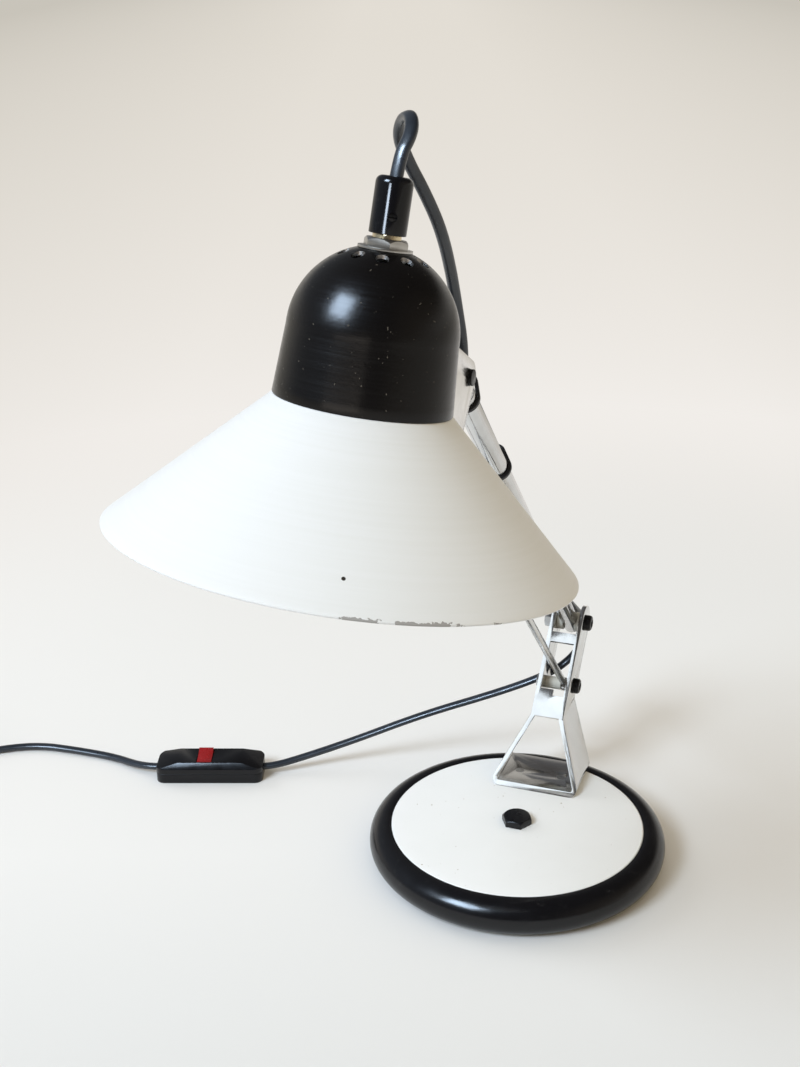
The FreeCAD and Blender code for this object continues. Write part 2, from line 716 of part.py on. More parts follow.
def knuckle():
    """The eye on the tilt screw, its neck and shoulder, and the stud through the cap."""
    half = KNUCKLE_HALF_WIDTH
    eye = ring_on(TILT_AXIS, -half, half, KNUCKLE_RADIUS, TILT_SCREW_RADIUS + RUN_GAP)
    shoulder_end = SADDLE_FACE + SEAT_GAP + SHOULDER_LENGTH
    neck = bar(on_stud(shoulder_end), STUD_WAY, KNUCKLE_REACH - shoulder_end, NECK_RADIUS)
    neck = neck.cut(bar(TILT_AXIS - ACROSS * 10, ACROSS, 20, KNUCKLE_RADIUS - 1))
    shoulder = bar(on_stud(SADDLE_FACE + SEAT_GAP), STUD_WAY, SHOULDER_LENGTH, SHOULDER_RADIUS)
    tip = INNER_FACE - STUD_WASHER_THICKNESS - STUD_NUT_HEIGHT - STUD_TIP
    stud = bar(on_stud(tip), STUD_WAY, SADDLE_FACE + 1 - tip, STUD_RADIUS)
    return eye.fuse(neck).fuse(shoulder).fuse(stud).removeSplitter()


def knuckle_washer():
    start = on_stud(INNER_FACE - SEAT_GAP)
    return tube(start, -STUD_WAY, STUD_WASHER_THICKNESS, STUD_WASHER_RADIUS, STUD_RADIUS + RUN_GAP)


def knuckle_nut():
    start = on_stud(INNER_FACE - SEAT_GAP - STUD_WASHER_THICKNESS)
    return nut(start, -STUD_WAY, STUD_NUT_FLATS, STUD_NUT_HEIGHT, STUD_RADIUS + THREAD_GAP)


# Head, built upright with its origin at the seat of the top nut ------------


def placed(shape):
    """Puts a piece of the head, built upright, where the head stands."""
    moved = shape.copy()
    moved.Placement = HEAD_PLACE.multiply(moved.Placement)
    return moved


def cap_blank(wall):
    """The cap's solid form, moved in by a wall."""
    ball = Part.makeSphere(CAP_RADIUS - wall, V(0, 0, -CAP_SPHERE_DROP))
    upper = Part.makeCylinder(CAP_RADIUS * 2, CAP_RADIUS * 2, V(0, 0, -CAP_SPHERE_DROP))
    flat = Part.makeBox(200, 200, 50, V(-100, -100, -wall))
    flare = Part.makeCone(CAP_EDGE_RADIUS - wall, CAP_RADIUS - wall,
                          CAP_EDGE_DROP - CAP_SPHERE_DROP, V(0, 0, -CAP_EDGE_DROP))
    return ball.common(upper).cut(flat).fuse(flare).removeSplitter()


def stud_hole(radius):
    return Part.makeCylinder(radius, CAP_RADIUS * 2, V(0, 0, -STUD_DROP), V(0, 1, 0))


def dome_cap():
    """The black cap with its ring of vent holes."""
    mouth = Part.makeCylinder(CAP_EDGE_RADIUS - CAP_WALL, 2, V(0, 0, -CAP_EDGE_DROP - 2))
    body = cap_blank(0).cut(cap_blank(CAP_WALL).fuse(mouth))
    body = body.cut(Part.makeCylinder(NIPPLE_RADIUS + RUN_GAP, 20, V(0, 0, -10)))
    for count in range(VENT_COUNT):
        angle = 2 * math.pi * count / VENT_COUNT
        place = V(VENT_CIRCLE * math.cos(angle), VENT_CIRCLE * math.sin(angle), -20)
        body = body.cut(Part.makeCylinder(VENT_RADIUS, 30, place))
    return body.cut(stud_hole(STUD_RADIUS + RUN_GAP))


def shade():
    """The white cone, with a collar that is pressed into the cap."""
    collar = cap_radius_at(CAP_EDGE_DROP - SHADE_COLLAR_HEIGHT) - CAP_WALL - SEAT_GAP
    step = CAP_EDGE_DROP + SEAT_GAP
    slope = math.atan2(SHADE_RIM_DROP - step, SHADE_RIM_RADIUS - SHADE_TOP_RADIUS)
    back = SHADE_WALL / math.sin(slope)
    inner_start = SHADE_WALL + (collar - SHADE_TOP_RADIUS + back) * math.tan(slope)
    rim_drop = SHADE_RIM_DROP
    profile = [
        (collar - SHADE_WALL, -(CAP_EDGE_DROP - SHADE_COLLAR_HEIGHT)),
        (collar, -(CAP_EDGE_DROP - SHADE_COLLAR_HEIGHT)),
        (collar, -step),
        (SHADE_TOP_RADIUS, -step),
        (SHADE_RIM_RADIUS, -rim_drop),
        (SHADE_RIM_RADIUS - back, -rim_drop),
        (collar - SHADE_WALL, -step - inner_start + SHADE_WALL),
    ]
    return turned(profile)


def saddle():
    """The outer spacer, shaped to the cap, that the knuckle's shoulder turns on."""
    far = SADDLE_FACE
    blank = Part.makeCylinder(SADDLE_RADIUS, far - CAP_RADIUS / 2, V(0, CAP_RADIUS / 2, -STUD_DROP), V(0, 1, 0))
    return blank.cut(cap_blank(-SEAT_GAP)).cut(stud_hole(STUD_RADIUS + RUN_GAP))


def inner_saddle():
    """The spacer inside the cap, flat towards the stud's nut."""
    blank = Part.makeCylinder(SADDLE_RADIUS, CAP_RADIUS, V(0, INNER_FACE, -STUD_DROP), V(0, 1, 0))
    return blank.common(cap_blank(CAP_WALL + SEAT_GAP)).cut(stud_hole(STUD_RADIUS + RUN_GAP))


def nipple():
    return tube(V(0, 0, -NIPPLE_BELOW), UP, NIPPLE_BELOW + NIPPLE_ABOVE, NIPPLE_RADIUS, NIPPLE_BORE)


def top_washer():
    return tube(V(), UP, TOP_WASHER_THICKNESS, TOP_WASHER_RADIUS, NIPPLE_RADIUS + RUN_GAP)


def top_nut():
    start = V(0, 0, TOP_WASHER_THICKNESS)
    return nut(start, UP, TOP_NUT_FLATS, TOP_NUT_HEIGHT, NIPPLE_RADIUS + THREAD_GAP)


def inner_nut():
    start = V(0, 0, -CAP_WALL)
    return nut(start, -UP, TOP_NUT_FLATS, TOP_NUT_HEIGHT, NIPPLE_RADIUS + THREAD_GAP)


GRIP_BOTTOM = TOP_WASHER_THICKNESS + TOP_NUT_HEIGHT + GRIP_GAP
GRIP_TOP = GRIP_BOTTOM + GRIP_LENGTH


def cord_grip():
    """The glossy grip that screws on the nipple and holds the cable."""
    body = Part.makeCylinder(GRIP_RADIUS, GRIP_LENGTH, V(0, 0, GRIP_BOTTOM))
    rim = [edge for edge in body.Edges if edge.BoundBox.ZMin > GRIP_TOP - 0.01]
    body = body.makeFillet(GRIP_ROUNDING, rim)
    thread = NIPPLE_ABOVE - GRIP_BOTTOM + SIDE_GAP
    body = body.cut(Part.makeCylinder(NIPPLE_RADIUS + THREAD_GAP, thread + 1, V(0, 0, GRIP_BOTTOM - 1)))
    body = body.cut(Part.makeCylinder(CABLE_RADIUS + RUN_GAP, GRIP_LENGTH, V(0, 0, GRIP_BOTTOM)))
    return body.cut(grub_bar(GRUB_RADIUS + THREAD_GAP))


def grub_bar(radius):
    start = V(0, -CABLE_RADIUS - RUN_GAP * 2, GRIP_TOP - GRUB_DROP)
    hole = Part.makeCylinder(radius, GRIP_RADIUS, start, V(0, -1, 0))
    hole.rotate(V(), UP, GRUB_TURN)
    return hole


def grub_screw():
    """The small screw that clamps the cable in the grip, with a driver's slot."""
    start_y = -CABLE_RADIUS - RUN_GAP * 2
    length = GRIP_RADIUS + start_y - 0.4
    height = GRIP_TOP - GRUB_DROP
    body = Part.makeCylinder(GRUB_RADIUS, length, V(0, start_y, height), V(0, -1, 0))
    slot = Part.makeBox(GRUB_RADIUS * 3, 1.0, 0.5, V(-GRUB_RADIUS * 1.5, start_y - length, height - 0.25))
    screw = body.cut(slot)
    screw.rotate(V(), UP, GRUB_TURN)
    return screw


def lampholder():
    """The holder's shell, screwed on the nipple's lower end."""
    bottom = -(HOLDER_TOP + HOLDER_LENGTH)
    body = Part.makeCylinder(HOLDER_RADIUS, HOLDER_LENGTH, V(0, 0, bottom))
    rim = [edge for edge in body.Edges if edge.BoundBox.ZMin > -HOLDER_TOP - 0.01]
    body = body.makeFillet(3.0, rim)
    depth = HOLDER_LENGTH - HOLDER_ROOF
    hollow = Part.makeCylinder(HOLDER_RADIUS - HOLDER_WALL, depth + 1, V(0, 0, bottom - 1))
    bore = Part.makeCylinder(NIPPLE_RADIUS + THREAD_GAP, 20, V(0, 0, -HOLDER_TOP - 10))
    return body.cut(hollow).cut(bore)


def holder_insert_top():
    return HOLDER_TOP + HOLDER_ROOF


def holder_insert():
    """The ceramic block with the contacts, below the nipple's end."""
    top = holder_insert_top() + SEAT_GAP
    body = Part.makeCylinder(HOLDER_RADIUS - HOLDER_WALL - SEAT_GAP, INSERT_LENGTH, V(0, 0, -top - INSERT_LENGTH))
    passage = Part.makeCylinder(2.0, INSERT_LENGTH + 2, V(5.0, 0, -top - INSERT_LENGTH - 1))
    centre = Part.makeCylinder(1.5, INSERT_LENGTH + 2, V(0, 0, -top - INSERT_LENGTH - 1))
    return body.cut(passage).cut(centre)


def holder_contacts():
    """The centre contact and the threaded sleeve of the holder."""
    low = holder_insert_top() + SEAT_GAP + INSERT_LENGTH
    centre = Part.makeCylinder(1.5 - THREAD_GAP, INSERT_LENGTH, V(0, 0, -low))
    centre = centre.fuse(Part.makeCylinder(3.0, 0.8, V(0, 0, -low - 0.8))).removeSplitter()
    sleeve = tube(V(0, 0, -low), -UP, HOLDER_LENGTH + HOLDER_TOP - low - 3, BULB_CAP_RADIUS + 1.2,
                  BULB_CAP_RADIUS + THREAD_GAP)
    return group([centre, sleeve])


def bulb_cap():
    """The bulb's threaded cap and its contact point."""
    low = holder_insert_top() + SEAT_GAP + INSERT_LENGTH + 0.8
    cap = Part.makeCylinder(BULB_CAP_RADIUS, BULB_CAP_LENGTH, V(0, 0, -low - 2 - BULB_CAP_LENGTH))
    tip = Part.makeCone(BULB_CAP_RADIUS, 2.5, 2 - 0.05, V(0, 0, -low - 2))
    hollow = Part.makeCylinder(BULB_CAP_RADIUS - 0.8, BULB_CAP_LENGTH - 2, V(0, 0, -low - 2 - BULB_CAP_LENGTH))
    return cap.fuse(tip).cut(hollow).removeSplitter()


def bulb_blank(wall):
    """The round bulb and its neck, moved in by the glass."""
    low = holder_insert_top() + SEAT_GAP + INSERT_LENGTH + 2.8 + BULB_CAP_LENGTH
    ball = Part.makeSphere(BULB_RADIUS - wall, V(0, 0, -BULB_DROP))
    neck = Part.makeCone(BULB_FLARE_RADIUS - wall, BULB_CAP_RADIUS - wall,
                         BULB_DROP - 14 - low, V(0, 0, -BULB_DROP + 14))
    return ball.fuse(neck)


def bulb_glass():
    return bulb_blank(0).cut(bulb_blank(BULB_GLASS)).removeSplitter()


# Cable --------------------------------------------------------------------


def rounded_corners(points):
    """For each inner point of a route, the arc that rounds it: start, middle, end."""
    arcs = []
    for before, corner, after in zip(points, points[1:], points[2:]):
        into, out = corner - before, after - corner
        half = into.getAngle(out) / 2
        back = ARC_SHARE * min(into.Length, out.Length)
        radius = back / math.tan(half)
        into.normalize()
        out.normalize()
        inward = (out - into).normalize()
        rise = math.hypot(radius, back) - radius
        arcs.append((corner - into * back, corner + inward * rise, corner + out * back, radius))
    return arcs


def cable_piece(route, first, last, first_share=0.5, last_share=0.5):
    """The cable between two places of a route, each a share of the way along a run."""
    place = route[first] + (route[first + 1] - route[first]) * first_share
    stop = route[last] + (route[last + 1] - route[last]) * last_share
    edges = []
    for start, middle, end, _ in rounded_corners(route)[first:last]:
        edges.append(Part.LineSegment(place, start).toShape())
        edges.append(Part.Arc(start, middle, end).toShape())
        place = end
    edges.append(Part.LineSegment(place, stop).toShape())
    path = Part.Wire(edges)
    start = edges[0].valueAt(edges[0].FirstParameter)
    section = Part.Wire(Part.makeCircle(CABLE_RADIUS, start, edges[0].tangentAt(edges[0].FirstParameter)))
    solid = path.makePipeShell([section], True, False)
    share = solid.Volume / (math.pi * CABLE_RADIUS ** 2 * path.Length)
    print("cable piece %.1f long, volume over section times length %.4f" % (path.Length, share))
    return solid


def print_radii(name, route):
    radii = ["%.0f" % corner[3] for corner in rounded_corners(route)]
    print(name, "radii", " ".join(radii))


def lamp_route():
    """The cable from inside the cord grip, along the arm and out of the bracket to the switch."""
    return [
        in_head(0, 0, -GRIP_TOP + GRUB_DROP + GRUB_RADIUS),
        in_head(0, 0, -GRIP_TOP - 6),
        V(9.7, -190.4, 405.5),
        V(7.4, -182.8, 410.6),
        V(1.2, -174.2, 410.0),
        V(-3.6, -167.0, 402.4),
        V(-2.9, -160.0, 393.0),
        V(0.6, -150.0, 379.5),
        V(2.8, -138.5, 364.5),
        V(2.0, -124.5, 347.0),
        V(0.9, -112.8, 329.0),
        in_arm(309.5, 13.5, 1.4),
        on_tube(295, -5.0),
        on_tube(262, CABLE_SIDE_ANGLE),
        on_tube(20, CABLE_SIDE_ANGLE),
        in_channel(71.7, 15.6, 1.2),
        in_channel(67.4, 22.9, 3.2),
        in_channel(61.2, 26.8, 4.6),
        in_channel(54.0, 26.8, 5.0),
        V(4.0, 108.5, 70.4),
        V(0.5, 103.0, 67.1),
        V(-5.8, 100.2, 61.5),
        V(-17.7, 95.4, 55.2),
        V(-40.5, 88.3, 45.5),
        V(-80.2, 74.6, 31.6),
        V(-119.2, 57.8, 15.4),
        V(-147.4, 40.6, 7.2),
        SWITCH_FROM + SWITCH_WAY * SWITCH_ENTRY + UP * SWITCH_CABLE_HEIGHT,
        SWITCH_FROM - SWITCH_WAY * SWITCH_ENTRY + UP * SWITCH_CABLE_HEIGHT,
    ]


def supply_route():
    """The cable on the table, from the switch to the coil."""
    return [
        SWITCH_TO + SWITCH_WAY * SWITCH_ENTRY + UP * SWITCH_CABLE_HEIGHT,
        SWITCH_TO - SWITCH_WAY * SWITCH_ENTRY + UP * SWITCH_CABLE_HEIGHT,
        V(-240.6, 8.6, 3.4),
        V(-258.4, 13.4, CABLE_RADIUS),
        V(-284.4, 12.9, CABLE_RADIUS),
        V(-309.6, 10.6, CABLE_RADIUS),
        V(-331.8, -2.1, CABLE_RADIUS),
        V(-348.8, -15.0, CABLE_RADIUS),
        V(-363.8, -28.5, CABLE_RADIUS),
    ]


def coil_centre():
    """The coil lies to the right of the cable that runs into it."""
    before, end = supply_route()[-2:]
    side = (end - before).cross(UP).normalize()
    return V(end.x, end.y, 0) + side * COIL_RADIUS


def plug_route():
    """The last of the cable, from the coil to the plug."""
    centre = coil_centre()
    return [
        centre + V(4.0, -COIL_RADIUS, CABLE_RADIUS),
        centre + V(-14.0, -COIL_RADIUS - 2.5, CABLE_RADIUS),
        centre + V(-30.0, -COIL_RADIUS - 10.5, CABLE_RADIUS + 2.6),
        centre + V(-43.0, -COIL_RADIUS - 20.0, PLUG_BODY_HEIGHT / 2),
        centre + V(-53.0, -COIL_RADIUS - 28.5, PLUG_BODY_HEIGHT / 2),
    ]


def spare_coil():
    """The outer form of the coiled spare cable."""
    centre = coil_centre() + UP * (COIL_HEIGHT / 2)
    half_width, half_height, corner = COIL_WIDTH / 2, COIL_HEIGHT / 2, 5.0
    outline = [
        (-half_width + corner, -half_height), (half_width - corner, -half_height),
        (half_width, -half_height + corner), (half_width, half_height - corner),
        (half_width - corner, half_height), (-half_width + corner, half_height),
        (-half_width, half_height - corner), (-half_width, -half_height + corner),
    ]
    body = turned([(COIL_RADIUS + x, z) for x, z in outline])
    body.Placement = Placement(centre, Rotation())
    return body


# Switch -------------------------------------------------------------------


SWITCH_PLACE = Placement((SWITCH_FROM + SWITCH_TO) * 0.5, Rotation(ACROSS, SWITCH_WAY))
ROCKER_AXIS = V(-ROCKER_SHIFT, 0, SWITCH_HEIGHT - ROCKER_AXIS_DROP)


def on_switch(shape):
    """Puts a piece of the switch, built along X at the origin, in its place."""
    moved = shape.copy()
    moved.Placement = SWITCH_PLACE.multiply(moved.Placement)
    return moved


def rounded_block(length, width, corner, bottom, top):
    block = Part.makeBox(length, width, top - bottom, V(-length / 2, -width / 2, bottom))
    uprights = [edge for edge in block.Edges if abs(edge.Length - (top - bottom)) < 0.001
                and abs(edge.tangentAt(0).z) > 0.9]
    return block.makeFillet(corner, uprights)


def cable_entries():
    """The round openings in both ends of the switch, for the cable."""
    length = SWITCH_ENTRY + 2
    places = (-SWITCH_LENGTH / 2 - 1, SWITCH_LENGTH / 2 + 1 - length)
    return group([bar(V(x, 0, SWITCH_CABLE_HEIGHT), ACROSS, length, CABLE_RADIUS + RUN_GAP) for x in places])


def screw_spots():
    return [V(side * SWITCH_SCREW_PLACE, 5.5 * side, 0) for side in (-1, 1)]


def switch_base():
    """The lower shell, with two bosses for the screws."""
    body = rounded_block(SWITCH_LENGTH, SWITCH_WIDTH, SWITCH_CORNER, 0, SWITCH_SPLIT)
    inner = rounded_block(SWITCH_LENGTH - 2 * SWITCH_WALL, SWITCH_WIDTH - 2 * SWITCH_WALL,
                          SWITCH_CORNER - SWITCH_WALL, SWITCH_WALL, SWITCH_SPLIT + 1)
    body = body.cut(inner)
    for spot in screw_spots():
        body = body.fuse(Part.makeCylinder(SWITCH_BOSS_RADIUS, SWITCH_SPLIT, spot))
    body = body.removeSplitter()
    for spot in screw_spots():
        body = body.cut(Part.makeCylinder(SWITCH_SCREW_RADIUS + RUN_GAP, 20, spot - UP))
        body = body.cut(Part.makeCylinder(SWITCH_SCREW_RADIUS * 1.8 + RUN_GAP, 1.6, spot))
    return body.cut(cable_entries())


def cover_form(inset, bottom=SWITCH_SPLIT):
    """The upper shell's outer form, moved in by its wall, down to its open bottom."""
    length = SWITCH_LENGTH - 2 * inset
    width = SWITCH_WIDTH - 2 * inset
    top = SWITCH_HEIGHT - inset
    block = rounded_block(length, width, SWITCH_CORNER - inset, bottom, top)
    end = SWITCH_END_HEIGHT - inset
    half = length / 2
    along = [
        V(-half, -width, bottom), V(half, -width, bottom), V(half, -width, end),
        V(half - SWITCH_SLOPE, -width, top), V(SWITCH_SLOPE - half, -width, top), V(-half, -width, end),
    ]
    side = width / 2
    across = [
        V(-length, -side, bottom), V(-length, side, bottom), V(-length, side, end),
        V(-length, side - SWITCH_SIDE_SLOPE, top), V(-length, SWITCH_SIDE_SLOPE - side, top),
        V(-length, -side, end),
    ]
    block = block.common(prism(along, V(0, width * 2, 0)))
    return block.common(prism(across, ACROSS * (length * 2)))


def rocker_bearing(reach, half_width, low, high):
    """A block across the rocker's pin, centred on the rocker."""
    return Part.makeBox(reach * 2, half_width * 2, high - low, V(-reach - ROCKER_SHIFT, -half_width, low))


def switch_cover():
    """The upper shell, with the rocker's window and its two bearings."""
    body = cover_form(0).cut(cover_form(SWITCH_WALL, SWITCH_SPLIT - 1))
    inside_wall = SWITCH_HEIGHT - SWITCH_WALL / 2
    pin_end = ROCKER_LENGTH / 2 + ROCKER_GAP + ROCKER_PIN_REACH
    low = ROCKER_AXIS.z - ROCKER_BEARING_HALF_WIDTH
    bearing = rocker_bearing(pin_end + RUN_GAP, ROCKER_BEARING_HALF_WIDTH, low, inside_wall)
    body = body.fuse(bearing)
    for spot in screw_spots():
        foot = spot + UP * SWITCH_SPLIT
        body = body.fuse(Part.makeCylinder(SWITCH_BOSS_RADIUS, inside_wall - SWITCH_WALL / 4 - foot.z, foot))
    body = body.removeSplitter()
    body = body.cut(rocker_bearing(ROCKER_LENGTH / 2 + ROCKER_GAP, ROCKER_WIDTH / 2 + ROCKER_GAP, 0, 30))
    body = body.cut(bar(ROCKER_AXIS - ACROSS * (pin_end + 1), ACROSS, 2 * pin_end + 2,
                        ROCKER_PIN_RADIUS + RUN_GAP))
    for spot in screw_spots():
        body = body.cut(Part.makeCylinder(SWITCH_SCREW_RADIUS + THREAD_GAP, 2.6, spot + UP * SWITCH_SPLIT))
    return body.cut(cable_entries())


def switch_rocker():
    """The rocker, a shallow V on its pin, lying with its far side up."""
    half = ROCKER_WIDTH / 2
    top = ROCKER_AXIS_DROP
    outline = [
        V(0, -half + 0.7, top + 1.2), V(0, -half * 0.35, top + 0.5), V(0, half * 0.35, top + 0.5),
        V(0, half - 0.7, top + 1.2), V(0, half - 0.3, -0.6), V(0, 2.0, -2.0), V(0, -2.0, -2.0),
        V(0, -half + 0.3, -0.6),
    ]
    start = -ACROSS * (ROCKER_LENGTH / 2)
    body = prism([point + start for point in outline], ACROSS * ROCKER_LENGTH)
    reach = ROCKER_LENGTH / 2 + ROCKER_GAP + ROCKER_PIN_REACH
    body = body.fuse(Part.makeCylinder(ROCKER_PIN_RADIUS, reach * 2, -ACROSS * reach, ACROSS))
    body = body.removeSplitter()
    body.Placement = Placement(ROCKER_AXIS, Rotation(ACROSS, ROCKER_TILT))
    return body


def switch_screws():
    screws = []
    for spot in screw_spots():
        shank = Part.makeCylinder(SWITCH_SCREW_RADIUS, SWITCH_SPLIT + 2.4 - 0.4, spot + UP * 0.4)
        head = Part.makeCylinder(SWITCH_SCREW_RADIUS * 1.8, 1.2, spot + UP * 0.4)
        screws.append(shank.fuse(head).removeSplitter())
    return group(screws)


def switch_contacts():
    """Two brass strips on the floor of the lower shell, below the rocker."""
    strips = []
    for side in (-1, 1):
        start = V(-ROCKER_SHIFT - 9.0, side * 5.0 - 1.5, SWITCH_WALL)
        strips.append(Part.makeBox(18.0, 3.0, 0.8, start))
    return group(strips)


# Plug ---------------------------------------------------------------------


def plug_frame():
    """Where the plug lies: X towards its pins."""
    route = plug_route()
    way = route[-1] - route[-2]
    way.z = 0
    return Placement(route[-1], Rotation(ACROSS, way.normalize()))


def plug_body():
    """The moulded two-pin plug and its tapered relief."""
    relief = Part.makeCone(CABLE_RADIUS + 0.7, RELIEF_RADIUS, RELIEF_LENGTH, V(), ACROSS)
    half, side, tall = PLUG_BODY_LENGTH, PLUG_BODY_WIDTH / 2, PLUG_BODY_HEIGHT / 2
    start = RELIEF_LENGTH - 1
    outline = [
        V(start, -RELIEF_RADIUS - 1, -tall), V(start + half * 0.55, -side, -tall),
        V(start + half, -side, -tall), V(start + half, side, -tall),
        V(start + half * 0.55, side, -tall), V(start, RELIEF_RADIUS + 1, -tall),
    ]
    block = prism(outline, UP * PLUG_BODY_HEIGHT)
    uprights = [edge for edge in block.Edges if edge.BoundBox.ZLength > 1]
    block = block.makeFillet(2.0, uprights)
    flats = [edge for edge in block.Edges if edge.BoundBox.ZLength < 0.01]
    block = block.makeFillet(1.2, flats)
    body = block.fuse(relief).removeSplitter()
    for spot in plug_pin_spots():
        body = body.cut(Part.makeCylinder(PLUG_PIN_RADIUS + THREAD_GAP, 12, spot - ACROSS * 12, ACROSS))
    body.Placement = plug_frame()
    return body


def plug_pin_spots():
    end = RELIEF_LENGTH - 1 + PLUG_BODY_LENGTH
    return [V(end, side * PLUG_PIN_SPREAD / 2, 0) for side in (-1, 1)]


def plug_pins():
    pins = []
    for spot in plug_pin_spots():
        pin = Part.makeCylinder(PLUG_PIN_RADIUS, PLUG_PIN_LENGTH + 12, spot - ACROSS * 12, ACROSS)
        tip = [edge for edge in pin.Edges if edge.BoundBox.XMin > spot.x + PLUG_PIN_LENGTH - 0.01]
        pins.append(pin.makeFillet(1.2, tip))
    both = group(pins)
    both.Placement = plug_frame()
    return both


# Everything, node by node -------------------------------------------------

os.makedirs("parts", exist_ok=True)

save("base_ring", base_ring())
save("base_disc", base_disc())
save("base_weight", base_weight())
save("base_pad", base_pad())
save("centre_bolt", centre_bolt())
save("centre_washer", centre_washer())
save("centre_nut", centre_nut())
save("plate_screws", plate_screws())
save("bracket", bracket())

save("arm_pivot_screw", pivot_screw(ARM_PIVOT, PIVOT_SCREW_RADIUS, EAR_HALF_WIDTH + PIVOT_NUT_HEIGHT,
                                    EAR_HALF_WIDTH, PIVOT_HEAD_RADIUS, PIVOT_HEAD_HEIGHT))
save("arm_pivot_nut", ear_nut(ARM_PIVOT, PIVOT_NUT_FLATS, PIVOT_NUT_HEIGHT, PIVOT_SCREW_RADIUS))
save("rod_pivot_screw", pivot_screw(ROD_PIVOT, ROD_SCREW_RADIUS, EAR_HALF_WIDTH + ROD_NUT_HEIGHT,
                                    EAR_HALF_WIDTH, ROD_HEAD_RADIUS, ROD_HEAD_HEIGHT))
save("rod_pivot_nut", ear_nut(ROD_PIVOT, ROD_NUT_FLATS, ROD_NUT_HEIGHT, ROD_SCREW_RADIUS))
save("rod_pivot_spacers", rod_pivot_spacers())

save("arm_tube", arm_tube())
save("arm_bushes", arm_bushes())
save("arm_end_fitting", arm_end_fitting())
save("cable_bands", cable_bands())
save("arm_rod", arm_rod())

save("head_link", head_link())
save("link_pins", link_pins())
save("link_spacers", link_spacers())
save("tilt_screw", tilt_screw())
save("tilt_nut", tilt_nut())
save("tilt_washers", tilt_washers())
save("knuckle", knuckle())
save("knuckle_washer", knuckle_washer())
save("knuckle_nut", knuckle_nut())

for name, shape in (
    ("dome_cap", dome_cap()), ("shade", shade()), ("saddle", saddle()), ("inner_saddle", inner_saddle()),
    ("nipple", nipple()), ("top_washer", top_washer()), ("top_nut", top_nut()), ("inner_nut", inner_nut()),
    ("cord_grip", cord_grip()), ("grub_screw", grub_screw()), ("lampholder", lampholder()),
    ("holder_insert", holder_insert()), ("holder_contacts", holder_contacts()), ("bulb_cap", bulb_cap()),
    ("bulb_glass", bulb_glass()),
):
    save(name, placed(shape))

cable = lamp_route()
print_radii("lamp cable", cable)
print_radii("supply cable", supply_route())
print_radii("plug cable", plug_route())
save("cable_at_head", cable_piece(cable, 0, KNUCKLE_RUN, 0.0))
save("cable_at_knuckle", cable_piece(cable, KNUCKLE_RUN, LINK_RUN))
save("cable_at_link", cable_piece(cable, LINK_RUN, ARM_RUN, 0.5, ARM_RUN_START))
save("cable_on_arm", cable_piece(cable, ARM_RUN, ARM_RUN, ARM_RUN_START, ARM_RUN_END))
save("cable_at_pivot", cable_piece(cable, ARM_RUN, BRACKET_RUN, ARM_RUN_END, 0.5))
save("cable_in_bracket", cable_piece(cable, BRACKET_RUN, FREE_RUN))
save("cable_to_switch", cable_piece(cable, FREE_RUN, len(cable) - 2, 0.5, 1.0))
save("cable_to_coil", cable_piece(supply_route(), 0, len(supply_route()) - 2, 0.0, 1.0))
save("cable_to_plug", cable_piece(plug_route(), 0, len(plug_route()) - 2, 0.0, 1.0))
save("spare_coil", spare_coil())

for name, shape in (
    ("switch_base", switch_base()), ("switch_cover", switch_cover()), ("switch_rocker", switch_rocker()),
    ("switch_screws", switch_screws()), ("switch_contacts", switch_contacts()),
):
    save(name, on_switch(shape))

save("plug_body", plug_body())
save("plug_pins", plug_pins())
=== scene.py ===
import json
import math

import bmesh
import bpy
from mathutils import Matrix, Vector

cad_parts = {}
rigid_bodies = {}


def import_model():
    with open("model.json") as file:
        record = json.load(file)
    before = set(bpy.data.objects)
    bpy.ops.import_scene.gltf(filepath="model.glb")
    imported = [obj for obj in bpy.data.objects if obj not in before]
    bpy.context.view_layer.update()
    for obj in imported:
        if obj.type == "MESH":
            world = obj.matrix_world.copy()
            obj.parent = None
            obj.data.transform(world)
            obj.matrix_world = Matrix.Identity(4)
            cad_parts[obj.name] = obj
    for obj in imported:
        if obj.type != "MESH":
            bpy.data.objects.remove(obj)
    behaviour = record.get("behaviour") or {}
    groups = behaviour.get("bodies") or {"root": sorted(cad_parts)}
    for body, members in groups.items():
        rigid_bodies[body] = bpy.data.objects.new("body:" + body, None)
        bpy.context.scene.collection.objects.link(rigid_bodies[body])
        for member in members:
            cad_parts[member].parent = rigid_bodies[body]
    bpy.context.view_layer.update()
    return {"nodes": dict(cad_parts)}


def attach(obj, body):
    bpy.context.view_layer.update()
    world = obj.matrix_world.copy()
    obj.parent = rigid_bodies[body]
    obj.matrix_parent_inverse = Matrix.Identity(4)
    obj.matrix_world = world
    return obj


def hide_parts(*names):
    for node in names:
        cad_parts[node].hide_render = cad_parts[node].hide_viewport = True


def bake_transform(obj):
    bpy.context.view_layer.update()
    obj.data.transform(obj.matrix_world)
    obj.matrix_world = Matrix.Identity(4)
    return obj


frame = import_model()

# Camera: looks down at the lamp from its front left, through a long lens,
# and is held upright.
AZIMUTH = math.radians(20.2)
PITCH = math.radians(22.007)
ROLL = math.radians(-0.598)
CAMERA_PLACE = Vector((0.18245, -0.67482, 0.46989))
LENS = 50.609

